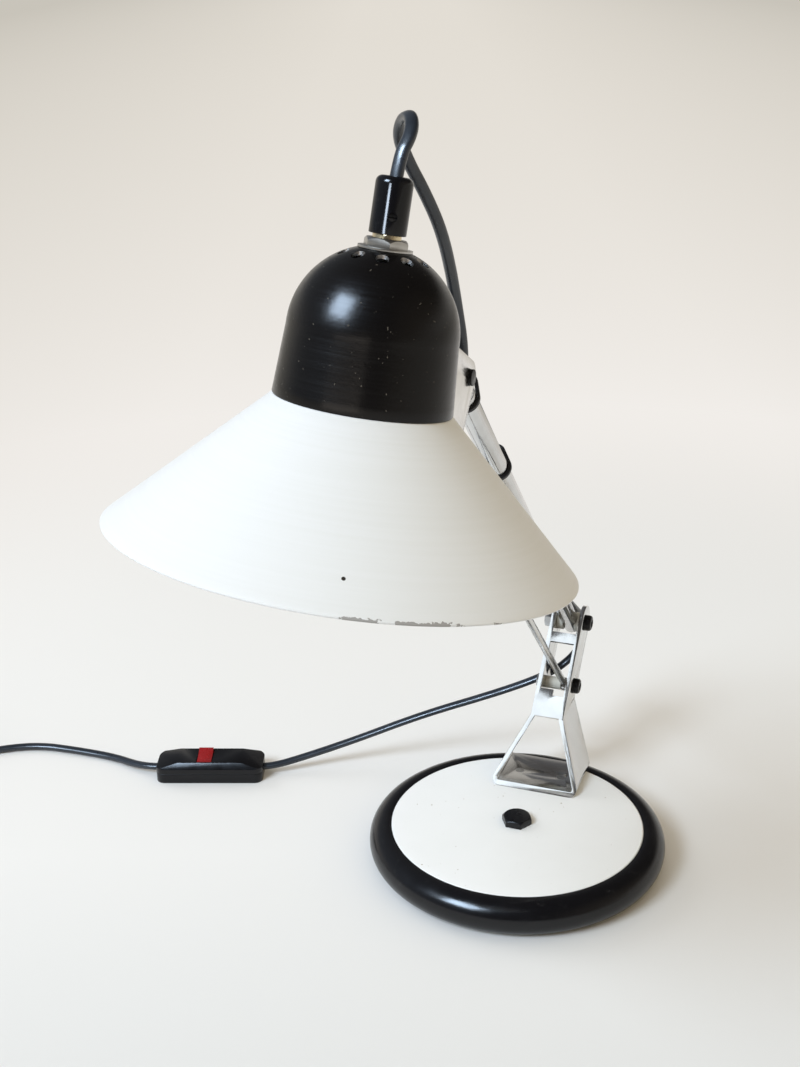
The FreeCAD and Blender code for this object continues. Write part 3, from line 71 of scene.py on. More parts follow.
ahead = Vector((
    -math.sin(AZIMUTH) * math.cos(PITCH),
    math.cos(AZIMUTH) * math.cos(PITCH),
    -math.sin(PITCH),
))
level_right = Vector((math.cos(AZIMUTH), math.sin(AZIMUTH), 0))
level_up = level_right.cross(ahead)
right = level_right * math.cos(ROLL) + level_up * math.sin(ROLL)
up = level_up * math.cos(ROLL) - level_right * math.sin(ROLL)
camera_data = bpy.data.cameras.new("camera")
camera_data.sensor_fit = "VERTICAL"
camera_data.sensor_height = 36
camera_data.lens = LENS
camera_data.clip_end = 100
camera = bpy.data.objects.new("camera", camera_data)
camera.matrix_world = Matrix((
    (right.x, up.x, -ahead.x, CAMERA_PLACE.x),
    (right.y, up.y, -ahead.y, CAMERA_PLACE.y),
    (right.z, up.z, -ahead.z, CAMERA_PLACE.z),
    (0, 0, 0, 1),
))
bpy.context.scene.collection.objects.link(camera)
bpy.context.scene.camera = camera
bpy.context.scene.view_settings.view_transform = "Standard"


# Table top: a wide sheet of white paper that the lamp stands on; towards the
# front its colour is darkened as painted shade. Away from the lamp it passes
# into a plain cream backdrop, which takes no shadow.
def new_finish(name, colour, roughness, **uniform):
    """A finish whose even values sit on the shader's own sockets."""
    made = bpy.data.materials.new(name)
    made.use_nodes = True
    shader = made.node_tree.nodes["Principled BSDF"]
    shader.inputs["Base Color"].default_value = (*colour, 1)
    shader.inputs["Roughness"].default_value = roughness
    for socket, value in uniform.items():
        shader.inputs[socket.replace("_", " ")].default_value = value
    return made


def node(made, kind, *links, **settings):
    """Adds a node; each link is (input, value or output socket)."""
    added = made.node_tree.nodes.new("ShaderNode" + kind)
    for key, value in settings.items():
        setattr(added, key, value)
    for socket, value in links:
        if isinstance(value, bpy.types.NodeSocket):
            made.node_tree.links.new(value, added.inputs[socket])
        else:
            added.inputs[socket].default_value = value
    return added


def feed(made, socket, output):
    """Lets a pattern drive one of the shader's sockets."""
    shader = made.node_tree.nodes["Principled BSDF"]
    made.node_tree.links.new(output, shader.inputs[socket])


def worked_out(made, operation, *values):
    """One step of arithmetic on numbers or sockets."""
    return node(made, "Math", *enumerate(values), operation=operation).outputs[0]


def ramped(made, value, low, high, out=(0.0, 1.0), **settings):
    """A value between two levels, spread over a range and held at its ends."""
    steps = ((0, value), (1, low), (2, high), (3, out[0]), (4, out[1]))
    return node(made, "MapRange", *steps, **settings).outputs[0]


def blended(made, share, *colours):
    """Passes from the first colour or socket to the second."""
    first, second = (
        colour if isinstance(colour, bpy.types.NodeSocket) else (*colour, 1)
        for colour in colours
    )
    return node(made, "Mix", (0, share), (6, first), (7, second), data_type="RGBA").outputs[2]


def rays_of(made, *kinds):
    """1 for rays of any of these kinds, and 0 for the others."""
    ray = node(made, "LightPath")
    share = ray.outputs[kinds[0]]
    for kind in kinds[1:]:
        share = worked_out(made, "MAXIMUM", share, ray.outputs[kind])
    return share


PAPER = (0.815, 0.805, 0.80)
PAPER_PAINTED_SHADE = (0.72, 0.715, 0.71)
BACKDROP_NEAR = (0.88, 0.85, 0.815)
BACKDROP_FAR = (0.765, 0.725, 0.66)
BACKDROP_ASIDE = (0.58, 0.55, 0.49)
ROOM_BEHIND = (0.62, 0.59, 0.53)
BACKDROP_TURN = math.radians(-20.2)
PAPER_HALF = 30.0


def paper_finish():
    """Paper by the lamp; further off, the backdrop for the eye and for mirrors."""
    made = new_finish("paper_backdrop", PAPER, 0.75)
    where = node(made, "TexCoord").outputs["Object"]
    square_on = node(made, "Mapping", ("Vector", where), ("Rotation", (0, 0, BACKDROP_TURN))).outputs[0]
    across = node(made, "SeparateXYZ", (0, square_on)).outputs
    # Painted shade: the paper's colour darkens towards the front, standing in for less light there.
    front = ramped(made, across["Y"], 0.0, -0.2)
    feed(made, "Base Color", blended(made, front, PAPER, PAPER_PAINTED_SHADE))

    reach = node(made, "VectorMath", (0, where), operation="LENGTH").outputs["Value"]
    closeness = worked_out(made, "DIVIDE", 1.0, reach)
    glow = blended(made, ramped(made, closeness, 1.2, 0.15), BACKDROP_NEAR, BACKDROP_FAR)
    for side in (-1, 1):
        aside = ramped(made, across["X"], side * 0.3, side * 2.4)
        glow = blended(made, aside, glow, BACKDROP_ASIDE)
    horizon = ramped(made, reach, 9, 22, interpolation_type="SMOOTHSTEP")
    glow = blended(made, horizon, glow, ROOM_BEHIND)

    far = ramped(made, reach, 0.35, 0.85, interpolation_type="SMOOTHSTEP")
    seen = rays_of(made, "Is Camera Ray", "Is Glossy Ray", "Is Transmission Ray")
    share = worked_out(made, "MULTIPLY", far, seen)
    plain = node(made, "Emission", ("Color", glow), ("Strength", 1.0)).outputs[0]
    tree = made.node_tree
    paper = tree.nodes["Principled BSDF"].outputs[0]
    mixed = node(made, "MixShader", (0, share), (1, paper), (2, plain)).outputs[0]
    tree.links.new(mixed, tree.nodes["Material Output"].inputs["Surface"])
    return made


paper_mesh = bpy.data.meshes.new("table_top")
paper_mesh.from_pydata(
    [(-PAPER_HALF, -PAPER_HALF, 0), (PAPER_HALF, -PAPER_HALF, 0),
     (PAPER_HALF, PAPER_HALF, 0), (-PAPER_HALF, PAPER_HALF, 0)],
    [], [(0, 1, 2, 3)])
paper_mesh.materials.append(paper_finish())
table_top = bpy.data.objects.new("table_top", paper_mesh)
bpy.context.scene.collection.objects.link(table_top)


# Room: its pale walls light the lamp evenly, a little warmer at the right.
# Metal mirrors a darker room, and the bright paper low down ahead.
room = bpy.data.worlds.new("pale_room")
bpy.context.scene.world = room
room.use_nodes = True
facing = node(room, "SeparateXYZ", (0, node(room, "TexCoord").outputs["Generated"])).outputs


def wall_colours(left, right_hand, *between):
    """Colours of the walls from the room's left round to its right."""
    ramp = node(room, "ValToRGB", (0, ramped(room, facing["X"], -1.0, 1.0)))
    stops = ramp.color_ramp.elements
    stops[0].color = (*left, 1)
    stops[1].color = (*right_hand, 1)
    for place, colour in between:
        stops.new(place).color = (*colour, 1)
    return ramp.outputs[0]


WALLS_LIT = wall_colours((0.60, 0.575, 0.53), (0.65, 0.51, 0.28), (0.5, (0.60, 0.565, 0.50)))
WALLS_MIRRORED = wall_colours(
    (0.30, 0.33, 0.37), (0.34, 0.29, 0.23), (0.45, (0.085, 0.08, 0.078)), (0.8, (0.07, 0.062, 0.055)))
PAPER_MIRRORED = (0.72, 0.69, 0.64)
in_front = ramped(room, facing["Y"], -0.3, 0.4)
low_down = ramped(room, facing["Z"], 0.34, 0.12)
low_ahead = worked_out(room, "MULTIPLY", in_front, low_down)
mirrored_room = blended(room, low_ahead, WALLS_MIRRORED, PAPER_MIRRORED)
mirrors = rays_of(room, "Is Glossy Ray", "Is Transmission Ray")
lit_room = blended(room, mirrors, WALLS_LIT, mirrored_room)
whole_room = blended(room, rays_of(room, "Is Camera Ray"), lit_room, ROOM_BEHIND)
room.node_tree.links.new(whole_room, room.node_tree.nodes["Background"].inputs["Color"])


# Windows: a broad one at the front left gives the main light, and a small
# one further round to the left fills in. Mirrors see a dimmer pane instead.
LAMP_MIDDLE = Vector((0, -0.05, 0.25))


def window_light(name, way, distance, size, power, colour, plain=True, mirrored=True, only_on=()):
    """An area light from one way; it may light, or be mirrored by, some pieces only."""
    data = bpy.data.lights.new(name, "AREA")
    data.shape = "RECTANGLE"
    data.size = size[0]
    data.size_y = size[1]
    data.energy = power
    data.color = colour
    lamp = bpy.data.objects.new(name, data)
    toward = Vector(way).normalized()
    lamp.location = LAMP_MIDDLE + toward * distance
    lamp.rotation_euler = toward.to_track_quat("Z", "Y").to_euler()
    lamp.visible_diffuse = plain
    lamp.visible_glossy = mirrored
    bpy.context.scene.collection.objects.link(lamp)
    if only_on:
        chosen = bpy.data.collections.new(name + "_pieces")
        for piece in only_on:
            chosen.objects.link(piece)
        lamp.light_linking.receiver_collection = chosen


window_light("window", (-0.36, -0.68, 0.63), 4.5, (1.7, 1.8), 186, (0.745, 0.87, 1.0), mirrored=False)
window_light("far_window", (-0.92, 0.25, 0.42), 3.0, (1.6, 1.4), 20, (0.88, 0.94, 1.0), mirrored=False)
window_light("window_seen", (-0.38, -0.64, 0.67), 2.4, (1.6, 1.6), 11.5, (0.84, 0.93, 1.0), plain=False)


# Flex on the lamp: a flat twin flex in a satin blue-grey jacket. It leaves
# the grip in a loop, crosses the head's joints and runs down behind the tube
# to the bracket, in lengths that end at its joints.
MM = 0.001
FLEX_WIDTH = 4.8 * MM
FLEX_THICKNESS = 3.5 * MM
FLEX_GIRTH = 4.2 * MM * math.pi
FLEX_FULLNESS = 0.8
FLEX_SIDES = 20


def place_of(made, origin=(0, 0, 0), turn=(0, 0, 0), stretch=(1, 1, 1)):
    """Object coordinates seen from a piece's own place, then stretched."""
    coords = node(made, "TexCoord").outputs["Object"]
    from_piece = (("Vector", coords), ("Location", origin), ("Rotation", turn))
    local = node(made, "Mapping", *from_piece, vector_type="TEXTURE").outputs[0]
    return node(made, "Mapping", ("Vector", local), ("Scale", stretch)).outputs[0]


def mottle(made, where, scale, low, high, detail=3.0, out=(0.0, 1.0)):
    """Noise between two levels, spread over a range of values."""
    grain = node(made, "TexNoise", ("Vector", where), ("Scale", scale), ("Detail", detail))
    return ramped(made, grain.outputs[0], low, high, out)


def relief(made, height, depth):
    """Bump of a given depth in metres."""
    bump = node(made, "Bump", ("Height", height), ("Distance", depth), ("Strength", 1.0))
    feed(made, "Normal", bump.outputs[0])


def clouded(made, scale, first, second, low=0.3, high=0.7):
    """Colour that drifts between two close tones."""
    feed(made, "Base Color", blended(made, mottle(made, place_of(made), scale, low, high), first, second))


def handled(made, scale, smooth, dull):
    """Polish that varies softly from smooth to dull."""
    feed(made, "Roughness", mottle(made, place_of(made), scale, 0.3, 0.7, out=(smooth, dull)))


def dress(slot_name, made):
    """Gives a finish to the solid pieces that are shown as they are."""
    for piece in frame["nodes"].values():
        for slot in piece.material_slots:
            if slot.material and slot.material.name.split(".")[0] == slot_name:
                slot.material = made


def settled_mesh(holder):
    """The plain mesh that a curve, or a piece with its modifiers, comes to."""
    bpy.context.view_layer.update()
    return bpy.data.meshes.new_from_object(holder.evaluated_get(bpy.context.evaluated_depsgraph_get()))


def linked(name, mesh, made):
    """A smooth-shaded piece in one finish."""
    piece = bpy.data.objects.new(name, mesh)
    mesh.materials.append(made)
    for polygon in mesh.polygons:
        polygon.use_smooth = True
    bpy.context.scene.collection.objects.link(piece)
    return piece


def flex_line(name, points):
    """The smooth line through a route in millimetres, as points in metres."""
    curve = bpy.data.curves.new(name, "CURVE")
    curve.dimensions = "3D"
    spline = curve.splines.new("NURBS")
    spline.points.add(len(points) - 1)
    for point, where in zip(spline.points, points):
        point.co = (where[0] * MM, where[1] * MM, where[2] * MM, 1)
    spline.order_u = 3
    spline.use_endpoint_u = True
    spline.resolution_u = 14
    holder = bpy.data.objects.new(name, curve)
    bpy.context.scene.collection.objects.link(holder)
    mesh = settled_mesh(holder)
    line = [vertex.co.copy() for vertex in mesh.vertices]
    bpy.data.objects.remove(holder)
    bpy.data.meshes.remove(mesh)
    return line


def flex_frames(line, wide_start, wide_end):
    """At each point the jacket's wide way: carried along, and eased to its end."""
    ways = [(after - before).normalized() for before, after in zip(line[:-1], line[1:])]
    ways = [ways[0]] + [(a + b).normalized() for a, b in zip(ways[:-1], ways[1:])] + [ways[-1]]
    wide = Vector(wide_start)
    carried = []
    for way in ways:
        wide = (wide - way * wide.dot(way)).normalized()
        carried.append(wide)
    goal = Vector(wide_end)
    goal = (goal - ways[-1] * goal.dot(ways[-1])).normalized()
    miss = math.atan2(carried[-1].cross(goal).dot(ways[-1]), carried[-1].dot(goal))
    if abs(miss) > math.pi / 2:
        miss -= math.copysign(math.pi, miss)
    steps = [0.0]
    for before, after in zip(line[:-1], line[1:]):
        steps.append(steps[-1] + (after - before).length)
    return [
        (way, Matrix.Rotation(miss * step / steps[-1], 3, way) @ side)
        for way, side, step in zip(ways, carried, steps)
    ]


def flex_section():
    """A flattened oval, fuller than an ellipse."""
    corners = []
    for step in range(FLEX_SIDES):
        angle = 2 * math.pi * step / FLEX_SIDES
        across, through = math.cos(angle), math.sin(angle)
        corners.append((
            math.copysign(abs(across) ** FLEX_FULLNESS, across) * FLEX_WIDTH / 2,
            math.copysign(abs(through) ** FLEX_FULLNESS, through) * FLEX_THICKNESS / 2,
        ))
    return corners


def jacket(name, line, frames, made):
    """The flex swept along its line, closed at both ends, with UVs in metres."""
    section = flex_section()
    form = bmesh.new()
    uv = form.loops.layers.uv.new("UVMap")
    rings, along, travelled = [], [], 0.0
    for index, (point, (way, wide)) in enumerate(zip(line, frames)):
        flat = way.cross(wide)
        rings.append([form.verts.new(point + wide * a + flat * b) for a, b in section])
        travelled += (point - line[index - 1]).length if index else 0.0
        along.append(travelled)
    for ring, (first, second) in enumerate(zip(rings[:-1], rings[1:])):
        for side in range(FLEX_SIDES):
            other = (side + 1) % FLEX_SIDES
            face = form.faces.new((first[side], first[other], second[other], second[side]))
            places = ((ring, side), (ring, side + 1), (ring + 1, side + 1), (ring + 1, side))
            for loop, (row, turn) in zip(face.loops, places):
                loop[uv].uv = (FLEX_GIRTH * turn / FLEX_SIDES, along[row])
    form.faces.new(rings[0][::-1])
    form.faces.new(rings[-1])
    mesh = bpy.data.meshes.new(name)
    form.to_mesh(mesh)
    form.free()
    mesh.set_sharp_from_angle(angle=math.radians(60))
    return linked(name, mesh, made)


def cable_finish():
    """Satin moulded jacket with fine lines drawn along it."""
    made = new_finish("cable_jacket", (0.014, 0.018, 0.026), 0.3, Coat_Weight=0.25, Coat_Roughness=0.22)
    clouded(made, 60, (0.011, 0.015, 0.022), (0.018, 0.023, 0.033), 0.35, 0.65)
    handled(made, 220, 0.26, 0.38)
    along = node(made, "TexCoord").outputs["UV"]
    drawn = node(made, "Mapping", ("Vector", along), ("Scale", (2600, 90, 1))).outputs[0]
    relief(made, mottle(made, drawn, 1.0, 0.2, 0.8, detail=1.0), 0.00003)
    return made


def nearest(line, place):
    """The step of a line that lies closest to a place in millimetres."""
    goal = Vector(place) * MM
    return min(range(len(line)), key=lambda index: (line[index] - goal).length)


cable_jacket = cable_finish()
dress("cable_blue", cable_jacket)

lamp_route = [
    (4.9, -199.6, 378.3), (7.0, -195.8, 398.7), (9.7, -190.4, 405.5), (7.4, -182.8, 410.6),
    (1.2, -174.2, 410.0), (-3.6, -167.0, 402.4), (-2.9, -160.0, 393.0), (0.6, -150.0, 379.5),
    (2.8, -138.5, 364.5), (2.0, -124.5, 347.0), (0.9, -112.8, 329.0), (1.4, -106.45, 312.06),
    (-0.6, -99.95, 297.5), (-1.7, -75.95, 274.8), (-1.7, 100.5, 109.1), (1.2, 122.3, 90.9),
    (3.2, 129.0, 85.3), (4.6, 121.6, 77.0), (5.0, 116.7, 71.9), (4.0, 108.5, 70.4),
    (0.5, 103.0, 67.1), (-5.8, 100.2, 61.5), (-17.7, 95.4, 55.2), (-40.5, 88.3, 45.5),
    (-80.2, 74.6, 31.6), (-119.2, 57.8, 15.4), (-147.4, 40.6, 7.2), (-161.1, 30.4, 5.0),
    (-168.7, 27.8, 5.0),
]
lamp_line = flex_line("lamp_line", lamp_route)
lamp_frames = flex_frames(lamp_line, (0.97, -0.22, 0.05), (-0.33, 0.94, 0.0))

AT_GRIP = (4.9, -199.6, 378.3)
OVER_STUD = (-3.0, -166.5, 401.8)
OVER_LINK = (2.2, -138.8, 364.5)
UPPER_BAND = (-1.7, -63.0, 262.6)
LOW_ON_TUBE = (-1.7, 90.5, 118.5)
BEHIND_PIVOT = (4.4, 122.4, 77.6)
OUT_OF_BRACKET = (-2.65, 101.6, 64.3)

# Each length of it: from where to where, the bodies at its two ends, and
# the two places that mark where it passes from one body to the other.
cable_pieces = (
    ("flex_at_head", "cable_at_head", AT_GRIP, OVER_STUD, "head", "knuckle", (0, -190, 0), (0, -168, 0)),
    ("flex_at_knuckle", "cable_at_knuckle", OVER_STUD, OVER_LINK, "knuckle", "head_link",
     (0, -163, 0), (0, -142, 0)),
    ("flex_at_link", "cable_at_link", OVER_LINK, UPPER_BAND, "head_link", "arm", (0, -136, 0), (0, -108, 0)),
    ("flex_on_arm", "cable_on_arm", UPPER_BAND, LOW_ON_TUBE, "arm", None, None, None),
    ("flex_at_pivot", "cable_at_pivot", LOW_ON_TUBE, BEHIND_PIVOT, "arm", "base", (0, 0, 108), (0, 0, 82)),
    ("flex_in_bracket", "cable_in_bracket", BEHIND_PIVOT, OUT_OF_BRACKET, "base", None, None, None),
)
for name, cad_node, first, last, body, other, start, end in cable_pieces:
    low = nearest(lamp_line, first)
    high = nearest(lamp_line, last)
    piece = jacket(name, lamp_line[low:high + 1], lamp_frames[low:high + 1], cable_jacket)
    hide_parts(cad_node)
    if other:
        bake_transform(piece)
    else:
        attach(piece, body)


# Lead: the same flex, hanging free from the bracket to the switch, which
# lies on the table at the lamp's left.
def stands_for(piece, body, slot, *nodes):
    """The piece rides on a body in place of solid pieces, which are hidden; the slot is not used."""
    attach(piece, body)
    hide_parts(*nodes)
    return piece


exit_step = nearest(lamp_line, OUT_OF_BRACKET)
lead_line = lamp_line[exit_step:]
lead = jacket("flex_to_switch", lead_line, lamp_frames[exit_step:], cable_jacket)
stands_for(lead, "base", "cable_blue", "cable_to_switch")


# Supply: the flex from the switch to the plug. What isn't needed is put away
# in a neat coil of eight turns in three layers, lying on the table; each turn
# climbs first, then moves over to the next one's radius.
COIL_CENTRE = Vector((-379.9, -10.7, 0))
COIL_START = math.radians(-47.9)
COIL_TURNS = (
    (30.2, 1.8), (25.3, 1.8), (20.4, 1.8),
    (20.4, 5.4), (25.3, 5.4), (30.2, 5.4),
    (25.3, 9.0), (30.2, 9.0),
)
POINTS_A_TURN = 14


def stepped(share, start, end):
    """Eases from 0 to 1 between two shares of a turn."""
    way = min(max((share - start) / (end - start), 0.0), 1.0)
    return way * way * (3 - 2 * way)


def coil_points():
    """The coil's route, from the table up; each turn is a radius and a height."""
    points = []
    for step in range(POINTS_A_TURN * len(COIL_TURNS) + 2):
        turn = min(step // POINTS_A_TURN, len(COIL_TURNS) - 1)
        share = step / POINTS_A_TURN - turn
        radius, height = COIL_TURNS[turn]
        next_radius, next_height = COIL_TURNS[min(turn + 1, len(COIL_TURNS) - 1)]
        angle = COIL_START - 2 * math.pi * (share + turn)
        reach = radius + (next_radius - radius) * stepped(share, 0.55, 1.0)
        points.append((
            COIL_CENTRE.x + reach * math.cos(angle),
            COIL_CENTRE.y + reach * math.sin(angle),
            height + (next_height - height) * stepped(share, 0.3, 0.75),
        ))
    return points


from_switch = [
    (-220.9, 9.7, 5.0), (-228.5, 7.1, 5.0), (-240.6, 8.6, 3.4), (-258.4, 13.4, 2.4),
    (-284.4, 12.9, 2.4), (-309.6, 10.6, 2.4), (-331.8, -2.1, 2.2), (-346.0, -18.0, 2.0),
]
to_plug = [
    (-384.0, -41.8, 8.2), (-396.0, -41.8, 6.9), (-409.9, -45.8, 6.3), (-422.9, -54.7, 6.5),
    (-432.9, -63.2, 6.5),
]
supply_line = flex_line("supply_line", from_switch + coil_points() + to_plug)
supply_frames = flex_frames(supply_line, (-0.33, 0.94, 0.0), (0.65, -0.76, 0.0))
supply = jacket("flex_to_plug", supply_line, supply_frames, cable_jacket)
stands_for(supply, "base", "cable_blue", "cable_to_coil", "spare_coil", "cable_to_plug")


# Cap: the head's spun dome, in thin sheet enamelled glossy black, with ten
# drilled vents round the nipple. It is turned about the head's own axis,
# which leans back and a little to the side.
HEAD_PLACE = Vector((0, -208.21, 331.57))
HEAD_TILT = -10.48
HEAD_SWIVEL = 5.89
HEAD_HEIGHT = 38.0
HEAD = (
    Matrix.Translation(HEAD_PLACE * MM)
    @ Matrix.Rotation(math.radians(HEAD_TILT), 4, "X")
    @ Matrix.Rotation(math.radians(HEAD_SWIVEL), 4, "Y")
    @ Matrix.Translation((0, 0, HEAD_HEIGHT * MM))
)
head_turn = tuple(HEAD.to_euler())
head_origin = tuple(HEAD.translation)

NIPPLE_HOLE = 5.05
CAP_RADIUS = 30.0
CAP_WALL = 1.2
CAP_MIDDLE = -28.5
CAP_EDGE = 31.8
CAP_BOTTOM = -52.8
VENTS = 10
VENT_CIRCLE = 14.0
VENT_RADIUS = 2.25
VENT_MIDDLE = -5
VENT_DEPTH = 30


def arc(centre, radius, start, end, steps):
    """Points of an arc in the (radius, height) plane, angles in degrees."""
    return [
        (centre[0] + radius * math.cos(math.radians(start + (end - start) * step / steps)),
         centre[1] + radius * math.sin(math.radians(start + (end - start) * step / steps)))
        for step in range(steps + 1)
    ]


def lathed(name, outline, made, place=None, turns=160, sharp=40):
    """A closed outline of (radius, height) in millimetres, turned about Z."""
    form = bmesh.new()
    rings = []
    for radius, height in outline:
        count = 1 if radius < 1e-6 else turns
        rings.append([
            form.verts.new((
                radius * MM * math.cos(2 * math.pi * step / turns + math.pi / 2),
                radius * MM * math.sin(2 * math.pi * step / turns + math.pi / 2), height * MM))
            for step in range(count)
        ])
    for first, second in zip(rings, rings[1:] + rings[:1]):
        if len(first) == 1 and len(second) == 1:
            continue
        for step in range(turns):
            after = (step + 1) % turns
            corners = [first[step % len(first)], first[after % len(first)],
                       second[after % len(second)], second[step % len(second)]]
            form.faces.new(list(dict.fromkeys(corners)))
    bmesh.ops.recalc_face_normals(form, faces=form.faces)
    if place is not None:
        form.transform(place)
    mesh = bpy.data.meshes.new(name)
    form.to_mesh(mesh)
    form.free()
    piece = linked(name, mesh, made)
    mesh.set_sharp_from_angle(angle=math.radians(sharp))
    return piece


def cap_finish():
    """Glossy black enamel over turning marks, with a few specks of dust."""
    made = new_finish("cap_enamel", (0.0040, 0.0034, 0.0034), 0.22, Specular_IOR_Level=0.24)
    where = place_of(made, head_origin, head_turn)
    rounds = place_of(made, head_origin, head_turn, (10, 10, 1700))
    dust = mottle(made, where, 800, 0.745, 0.785, detail=1.0)
    feed(made, "Base Color", blended(made, dust, (0.0040, 0.0034, 0.0034), (0.09, 0.08, 0.065)))
    feed(made, "Roughness", mottle(made, rounds, 1.0, 0.3, 0.7, detail=2.0, out=(0.19, 0.27)))
    turning = mottle(made, rounds, 1.0, 0.25, 0.75, detail=3.0)
    peel = mottle(made, where, 700, 0.3, 0.7, detail=2.0)
    relief(made, worked_out(made, "MULTIPLY_ADD", turning, 0.35, peel), 0.000012)
    return made


def vent_drills(finish):
    """A ring of upright drills through the cap's top, made by one node tree."""
    tree = bpy.data.node_groups.new("vent_drills", "GeometryNodeTree")
    tree.interface.new_socket("Geometry", in_out="OUTPUT", socket_type="NodeSocketGeometry")
    sizes = {
        label: tree.interface.new_socket(label, in_out="INPUT", socket_type="NodeSocket" + kind)
        for label, kind in (("Count", "Int"), ("Circle", "Float"), ("Drill", "Float"), ("Depth", "Float"))
    }
    nodes, links = tree.nodes, tree.links
    given = nodes.new("NodeGroupInput")
    ring = nodes.new("GeometryNodeMeshCircle")
    links.new(given.outputs["Count"], ring.inputs["Vertices"])
    links.new(given.outputs["Circle"], ring.inputs["Radius"])
    drill = nodes.new("GeometryNodeMeshCylinder")
    drill.inputs["Vertices"].default_value = 40
    links.new(given.outputs["Drill"], drill.inputs["Radius"])
    links.new(given.outputs["Depth"], drill.inputs["Depth"])
    copies = nodes.new("GeometryNodeInstanceOnPoints")
    links.new(ring.outputs["Mesh"], copies.inputs["Points"])
    links.new(drill.outputs["Mesh"], copies.inputs["Instance"])
    solid = nodes.new("GeometryNodeRealizeInstances")
    links.new(copies.outputs[0], solid.inputs[0])
    painted = nodes.new("GeometryNodeSetMaterial")
    painted.inputs["Material"].default_value = finish
    links.new(solid.outputs[0], painted.inputs["Geometry"])
    out = nodes.new("NodeGroupOutput")
    links.new(painted.outputs[0], out.inputs[0])

    holder = bpy.data.objects.new("vent_drills", bpy.data.meshes.new("vent_drills"))
    bpy.context.scene.collection.objects.link(holder)
    maker = holder.modifiers.new("drills", "NODES")
    maker.node_group = tree
    maker[sizes["Count"].identifier] = VENTS
    maker[sizes["Circle"].identifier] = VENT_CIRCLE * MM
    maker[sizes["Drill"].identifier] = VENT_RADIUS * MM
    maker[sizes["Depth"].identifier] = VENT_DEPTH * MM
    mesh = settled_mesh(holder)
    holder.modifiers.clear()
    holder.data = mesh
    mesh.transform(HEAD @ Matrix.Translation((0, 0, VENT_MIDDLE * MM)))
    return holder


def carved(piece, cutter):
    """Cuts the cutter out of the piece and takes the cutter away."""
    knife = piece.modifiers.new("cut", "BOOLEAN")
    knife.operation = "DIFFERENCE"
    knife.solver = "EXACT"
    knife.object = cutter
    knife.material_mode = "TRANSFER"
    mesh = settled_mesh(piece)
    piece.modifiers.clear()
    piece.data = mesh
    bpy.data.objects.remove(cutter)
    mesh.set_sharp_from_angle(angle=math.radians(35))


cap_enamel = cap_finish()
dress("cap_black", cap_enamel)
drilled_edge = new_finish("drilled_edge", (0.30, 0.28, 0.26), 0.3, Metallic=1.0)
handled(drilled_edge, 1500, 0.2, 0.45)

flat_top = math.degrees(math.acos(math.sqrt(CAP_RADIUS ** 2 - CAP_MIDDLE ** 2) / CAP_RADIUS))
inner_flat = math.degrees(math.asin((-CAP_MIDDLE - CAP_WALL) / (CAP_RADIUS - CAP_WALL)))
cap_side = [
    (CAP_RADIUS + (CAP_EDGE - CAP_RADIUS) * step / 6, CAP_MIDDLE + (CAP_BOTTOM - CAP_MIDDLE) * step / 6)
    for step in range(1, 6)
]
rolled_edge = [
    (CAP_EDGE - 0.02, CAP_BOTTOM + 0.5), (CAP_EDGE - 0.15, CAP_BOTTOM + 0.15), (CAP_EDGE - 0.5, CAP_BOTTOM),
    (CAP_EDGE - CAP_WALL, CAP_BOTTOM), (CAP_RADIUS - CAP_WALL, CAP_MIDDLE),
]
cap_outline = (
    [(NIPPLE_HOLE, 0.0)] + arc((0, CAP_MIDDLE), CAP_RADIUS, flat_top, 0, 44) + cap_side + rolled_edge
    + arc((0, CAP_MIDDLE), CAP_RADIUS - CAP_WALL, 0, inner_flat, 24) + [(NIPPLE_HOLE, -CAP_WALL)]
)
cap = lathed("cap_shell", cap_outline, cap_enamel, HEAD, turns=192)
cap.data.materials.append(drilled_edge)
carved(cap, vent_drills(drilled_edge))
stands_for(cap, "head", "cap_black", "dome_cap")


# Shade: a cone spun from thin sheet, with a rounded rim, and held in the cap
# by its collar. Its white stoving enamel shows brush marks all round, a pit,
# and chips at the rim where it has been knocked.
RIM = 85.3
RIM_DROP = -104.6
RIM_ROUND = 0.6
RIM_SWELL = 0.42
COLLAR = 30.1
COLLAR_TOP = -46.8
NECK = 31.5
NECK_DROP = -52.85
SHEET = 1.2
PIT = (0.0275, -0.0699, -0.0948)
PIT_RADIUS = 0.0007
CHIPS = ((-50.7, 9.3, 0.95), (-64.2, 6.0, 0.75), (-42.0, 0.9, 0.6), (-32.0, 1.6, 0.5))


